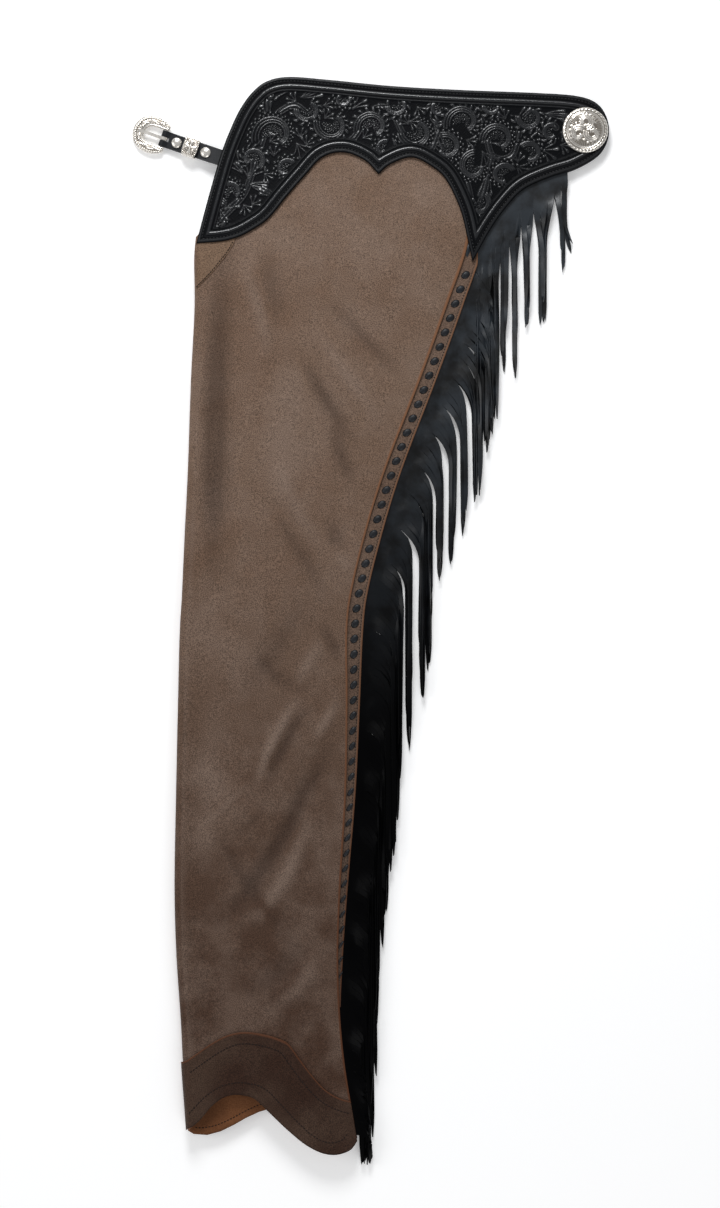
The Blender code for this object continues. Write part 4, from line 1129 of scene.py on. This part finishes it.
def build_concho():
    floor = float(yoke_middle(*CONCHO_AT)) + YOKE / 2 + 0.3
    rings = 56
    bm = bmesh.new()
    profile = [(0.001, floor), (CONCHO_RADIUS, floor)]
    profile += [(CONCHO_RADIUS * (1 - k / rings), floor + 1.4) for k in range(rings)] + [(0.001, floor + 1.4)]
    verts = [bm.verts.new((r, 0, z)) for r, z in profile]
    edges = [bm.edges.new(pair) for pair in zip(verts, verts[1:])]
    bmesh.ops.spin(bm, geom=verts + edges, cent=(0, 0, 0), axis=(0, 0, 1), angle=math.tau, steps=160,
                   use_merge=True)
    bmesh.ops.remove_doubles(bm, verts=bm.verts, dist=0.002)
    bmesh.ops.recalc_face_normals(bm, faces=bm.faces)
    bmesh.ops.translate(bm, vec=(*CONCHO_AT, 0), verts=bm.verts)
    obj = place("engraved_concho", bm, [SILVER], "chaps", "silver", "concho")
    points = flat_points(obj)
    dx, dy = points[:, 0] - CONCHO_AT[0], points[:, 1] - CONCHO_AT[1]
    rho, angle = np.hypot(dx, dy) / CONCHO_RADIUS, np.arctan2(dy, dx)
    upper = points[:, 2] > floor + 0.7
    dome = 3.4 * np.sqrt(np.clip(1 - rho**2, 0, 1))
    rope = 0.45 * np.clip(np.cos(angle * 36 + rho * 30), -0.3, 1) * ridge(rho - 0.93, 0.05, 1.0)
    channel = -ridge(rho - 0.85, 0.022, 0.6) - ridge(rho - 0.77, 0.018, 0.5)
    work = np.zeros(len(rho))
    for lobe in range(3):
        centre = math.radians(90 + 120 * lobe)
        cx, cy = 0.36 * math.cos(centre), 0.36 * math.sin(centre)
        px, py = rho * np.cos(angle) - cx, rho * np.sin(angle) - cy
        r2, a2 = np.hypot(px, py), np.arctan2(py, px)
        gone = np.mod(np.degrees(a2) - 90 - 120 * lobe - 180, 360) / 330
        curl = 0.40 * (1 - 0.62 * gone)
        on = smooth(gone / 0.06) * smooth((1 - gone) / 0.06)
        for ratio, width in ((1.0, 0.034), (0.74, 0.028), (0.50, 0.024)):
            work = np.maximum(work, ridge(r2 - curl * ratio, width, 1.0) * on)
        petals = np.clip(np.cos(a2 * 13 + (r2 / curl - 1) * 5), 0, 1)
        work = np.maximum(work, 0.85 * petals * on * smooth((r2 / curl - 1.1) / 0.08) * smooth(
            (1.5 - r2 / curl) / 0.12))
    ground_lines = np.clip(np.cos(angle * 42 + 6 * np.sin(angle * 3)), 0, 1) * smooth((rho - 0.5) / 0.08)
    work = np.maximum(work, 0.5 * ground_lines)
    inner = smooth((0.74 - rho) / 0.02)
    edge_work = np.clip(np.cos(angle * 24 + 20 * (rho - 0.81)), 0, 1) * ridge(rho - 0.81, 0.025, 0.7)
    lift = dome + rope + channel + 0.5 * work * inner - 0.35 * inner + 0.2 * edge_work
    points[:, 2] = np.where(upper, floor + 1.0 + lift, points[:, 2])
    set_points(obj, points)
    sunk = inner * (1 - work) * 0.8 + ridge(rho - 0.85, 0.02, 1.0) + ridge(rho - 0.765, 0.012, 0.8)
    sunk += 0.7 * ridge(rho - 0.93, 0.05, 1.0) * (np.cos(angle * 36 + rho * 30) < -0.4)
    mark(obj, "engraved", np.clip(np.where(upper, sunk, 0), 0, 1))
    return obj


STRAP_ROOT = (-150.5, 464.0)
STRAP_TURN = 160.7
STRAP_OUT = 60.5
BAR_HEIGHT = 4.2
FRAME_TILT = 4.6
FRAME_TOP = 1.2
KEEPER_AT = 31.5
STRAP_AXES = Matrix.Translation((*STRAP_ROOT, 0)) @ Matrix.Rotation(math.radians(STRAP_TURN), 4, "Z")
# The plate on the buckle frame: the window's side and the outer side, as distances out from the bar and across.
PLATE_INNER = ((-2.6, 9.2), (5.0, 9.2), (12.0, 9.2), (17.2, 7.8), (20.4, 4.7), (21.5, 0.0))
PLATE_OUTER = ((-2.6, 13.3), (5.8, 17.5), (14.0, 18.1), (22.0, 16.1), (28.4, 11.0), (32.0, 0.0))


def both_sides(table, pieces):
    """A line through a table and back along its mirror image, with evenly spaced points."""
    half = smooth_line(np.array(table, float), 10)
    line = np.vstack([half, half[-2::-1] * (1, -1)])
    run = np.concatenate([[0], np.cumsum(np.linalg.norm(np.diff(line, axis=0), axis=1))])
    at = np.linspace(0, run[-1], pieces)
    return np.stack([np.interp(at, run, line[:, 0]), np.interp(at, run, line[:, 1])], axis=1)


def relief_plate(name, body, columns, rows, point, axes, thickness, marks):
    """A thin engraved plate. point gives its places and its work's height; axes carry it into place."""
    bm = bmesh.new()
    bmesh.ops.create_grid(bm, x_segments=columns - 1, y_segments=rows - 1, size=0.5)
    flat = np.array([vert.co[:2] for vert in bm.verts])
    across_plate, up_plate = flat[:, 0] + 0.5, flat[:, 1] + 0.5
    x, y, z, dark = point(across_plate, up_plate)
    for vert, place_at in zip(bm.verts, np.stack([x, y, z], axis=1)):
        vert.co = axes @ Vector(place_at)
    bmesh.ops.recalc_face_normals(bm, faces=bm.faces)
    if sum(face.normal.z for face in bm.faces) < 0:
        bmesh.ops.reverse_faces(bm, faces=bm.faces)
    obj = place(name, bm, [SILVER], body, "silver")
    mark(obj, marks, dark)
    thicken(obj, thickness, even=False)
    return obj


def build_buckle_plate():
    columns, rows = 220, 26
    inner, outer = both_sides(PLATE_INNER, columns), both_sides(PLATE_OUTER, columns)
    axes = STRAP_AXES @ Matrix.Translation((STRAP_OUT, 0, BAR_HEIGHT)) @ Matrix.Rotation(
        math.radians(FRAME_TILT), 4, "Y")

    def point(u, v):
        column = np.rint(u * (columns - 1)).astype(int)
        where = inner[column] * (1 - v)[:, None] + outer[column] * v[:, None]
        crown = 0.9 * np.sin(math.pi * np.clip(v, 0.02, 0.98)) ** 0.7
        rope = np.clip(np.cos(u * math.tau * 34 + v * 14), -0.5, 1) * ridge(v - 0.88, 0.11, 0.45)
        rim = ridge(v - 0.07, 0.05, 0.3) - ridge(v - 0.72, 0.035, 0.5) - ridge(v - 0.16, 0.03, 0.4)
        swing = 0.44 + 0.14 * np.sin(u * math.tau * 7)
        vine = ridge(v - swing, 0.055, 0.5)
        leaf = np.clip(np.cos(u * math.tau * 42 + v * 16), 0, 1) * smooth((0.68 - v) / 0.05) * smooth((v - 0.2) / 0.05)
        work = np.maximum(vine, 0.4 * leaf * (np.abs(v - swing) > 0.09))
        panel = smooth((0.70 - v) / 0.04) * smooth((v - 0.17) / 0.04)
        dark = np.clip(panel * (1 - 2.2 * work) * 0.8 + ridge(v - 0.72, 0.04, 1) + 0.7 * ridge(v - 0.88, 0.12, 1) * (
            np.cos(u * math.tau * 34 + v * 14) < -0.3), 0, 1)
        return where[:, 0], where[:, 1], FRAME_TOP + 0.35 + crown + rope + rim + work - 0.3 * panel, dark

    relief_plate("buckle_engraving", "buckle", columns, rows, point, axes, 0.5, "engraved")


def build_keeper_plate():
    """The engraved cushion on the keeper's top, at the height and slope of the keeper's own top."""
    seen = np.array([STRAP_AXES.inverted() @ Vector(p) for p in flat_points(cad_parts["keeper"])])
    far, near = seen[seen[:, 0] > KEEPER_AT], seen[seen[:, 0] <= KEEPER_AT]
    (x1, _, z1), (x0, _, z0) = far[far[:, 2].argmax()], near[near[:, 2].argmax()]
    slope = (z1 - z0) / (x1 - x0)

    def point(u, v):
        a, b = 2 * u - 1, 2 * v - 1
        x = a * 7.0 * (1 + 0.10 * (1 - b * b))
        y = b * 8.9 * (1 - 0.06 * a * a)
        rho = np.hypot(a, b)
        angle = np.arctan2(b, a)
        crown = 1.0 * (1 - np.clip(np.abs(a), 0, 1) ** 3) * (1 - np.clip(np.abs(b), 0, 1) ** 3)
        cross = np.clip(np.cos(angle * 4) * 1.3, 0, 1) * smooth((0.78 - rho) / 0.1) * smooth((rho - 0.14) / 0.05)
        veins = np.clip(np.cos(angle * 20), 0, 1) * smooth((0.9 - rho) / 0.1) * smooth((rho - 0.4) / 0.1)
        button = smooth((0.16 - rho) / 0.03)
        edge = np.maximum(np.abs(a), np.abs(b))
        beads = ridge(edge - 0.9, 0.07, 1.0) * np.clip(np.cos(angle * 36), 0, 1)
        work = np.maximum.reduce([cross, 0.6 * veins, button, beads])
        dark = np.clip((1 - 1.3 * work) * 0.75 * (edge < 0.96), 0, 1)
        return KEEPER_AT + x, y, z0 + slope * (KEEPER_AT + x - x0) + 0.1 + crown + 0.45 * work, dark

    relief_plate("keeper_engraving", "chaps", 60, 70, point, STRAP_AXES, 0.5, "engraved")


def finish_plain_nodes():
    """The CAD's own pieces that stay as they are, with their finished leather or silver."""
    for name, mat in (("billet", BLACK), ("buckle_strap", BLACK), ("concho_screw", SILVER), ("strap_snap_1", SILVER),
                      ("strap_snap_2", SILVER), ("keeper", SILVER), ("buckle_frame", SILVER),
                      ("buckle_tongue", SILVER)):
        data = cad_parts[name].data
        data.materials.clear()
        data.materials.append(mat)


# The room.

def area_light(name, place_at, aim, size, power, colour=(1, 1, 1)):
    lamp = bpy.data.lights.new(name, "AREA")
    lamp.shape = "DISK"
    lamp.size = size
    lamp.energy = power
    lamp.color = colour
    obj = bpy.data.objects.new(name, lamp)
    bpy.context.scene.collection.objects.link(obj)
    obj.location = place_at
    obj.rotation_euler = (Vector(aim) - Vector(place_at)).to_track_quat("-Z", "Y").to_euler()


def build_room():
    bm = bmesh.new()
    bmesh.ops.create_grid(bm, x_segments=1, y_segments=1, size=6.0)
    mesh = bpy.data.meshes.new("floor")
    bm.to_mesh(mesh)
    bm.free()
    floor = bpy.data.objects.new("floor", mesh)
    bpy.context.scene.collection.objects.link(floor)
    floor.location.z = -0.0005
    pale, tree, shader = new_material("pale_floor", 0.9, 0.1)
    shader.inputs["Base Color"].default_value = (0.95, 0.95, 0.95, 1)
    shader.inputs["Emission Color"].default_value = (1, 1, 1, 1)
    shader.inputs["Emission Strength"].default_value = 0.22
    mesh.materials.append(pale)
    world = bpy.data.worlds.new("room")
    world.use_nodes = True
    world.node_tree.nodes["Background"].inputs["Color"].default_value = (0.97, 0.98, 1.0, 1)
    world.node_tree.nodes["Background"].inputs["Strength"].default_value = 0.3
    bpy.context.scene.world = world
    area_light("waist_light", (-0.25, 1.9, 1.5), (0, 0.1, 0), 0.9, 38, (0.98, 0.99, 1.0))
    area_light("hem_light", (0.6, -2.2, 1.9), (0, -0.1, 0), 2.0, 20)
    area_light("front_light", (-2.3, 0.1, 1.8), (0, 0, 0), 1.8, 16)
    camera_data = bpy.data.cameras.new("camera")
    camera_data.lens = 85
    camera_data.sensor_width = 36
    camera = bpy.data.objects.new("camera", camera_data)
    camera.location = (-0.0104, 0.016, 2.867)
    bpy.context.scene.collection.objects.link(camera)
    bpy.context.scene.camera = camera
    bpy.context.scene.view_settings.view_transform = "Standard"


build_leg("top_leg", "leg", top_outer, TOP_INNER, (64, 10, 12), 250, top_relief)
build_leg("under_leg_finish", "under_leg", under_outer, UNDER_INNER, (24, 6, 10), 60, None)
build_band()
build_gore()
build_strip()
build_yoke()
build_under_yoke()
build_lacing()
build_stitching()
build_fringe("fringe_finish", 0.0, "fringe", 4.6, 0.75, False)
build_fringe("under_fringe_finish", 500.0, "under_fringe", 0.85, 0.3, True)
build_concho()
build_buckle_plate()
build_keeper_plate()
finish_plain_nodes()
build_room()
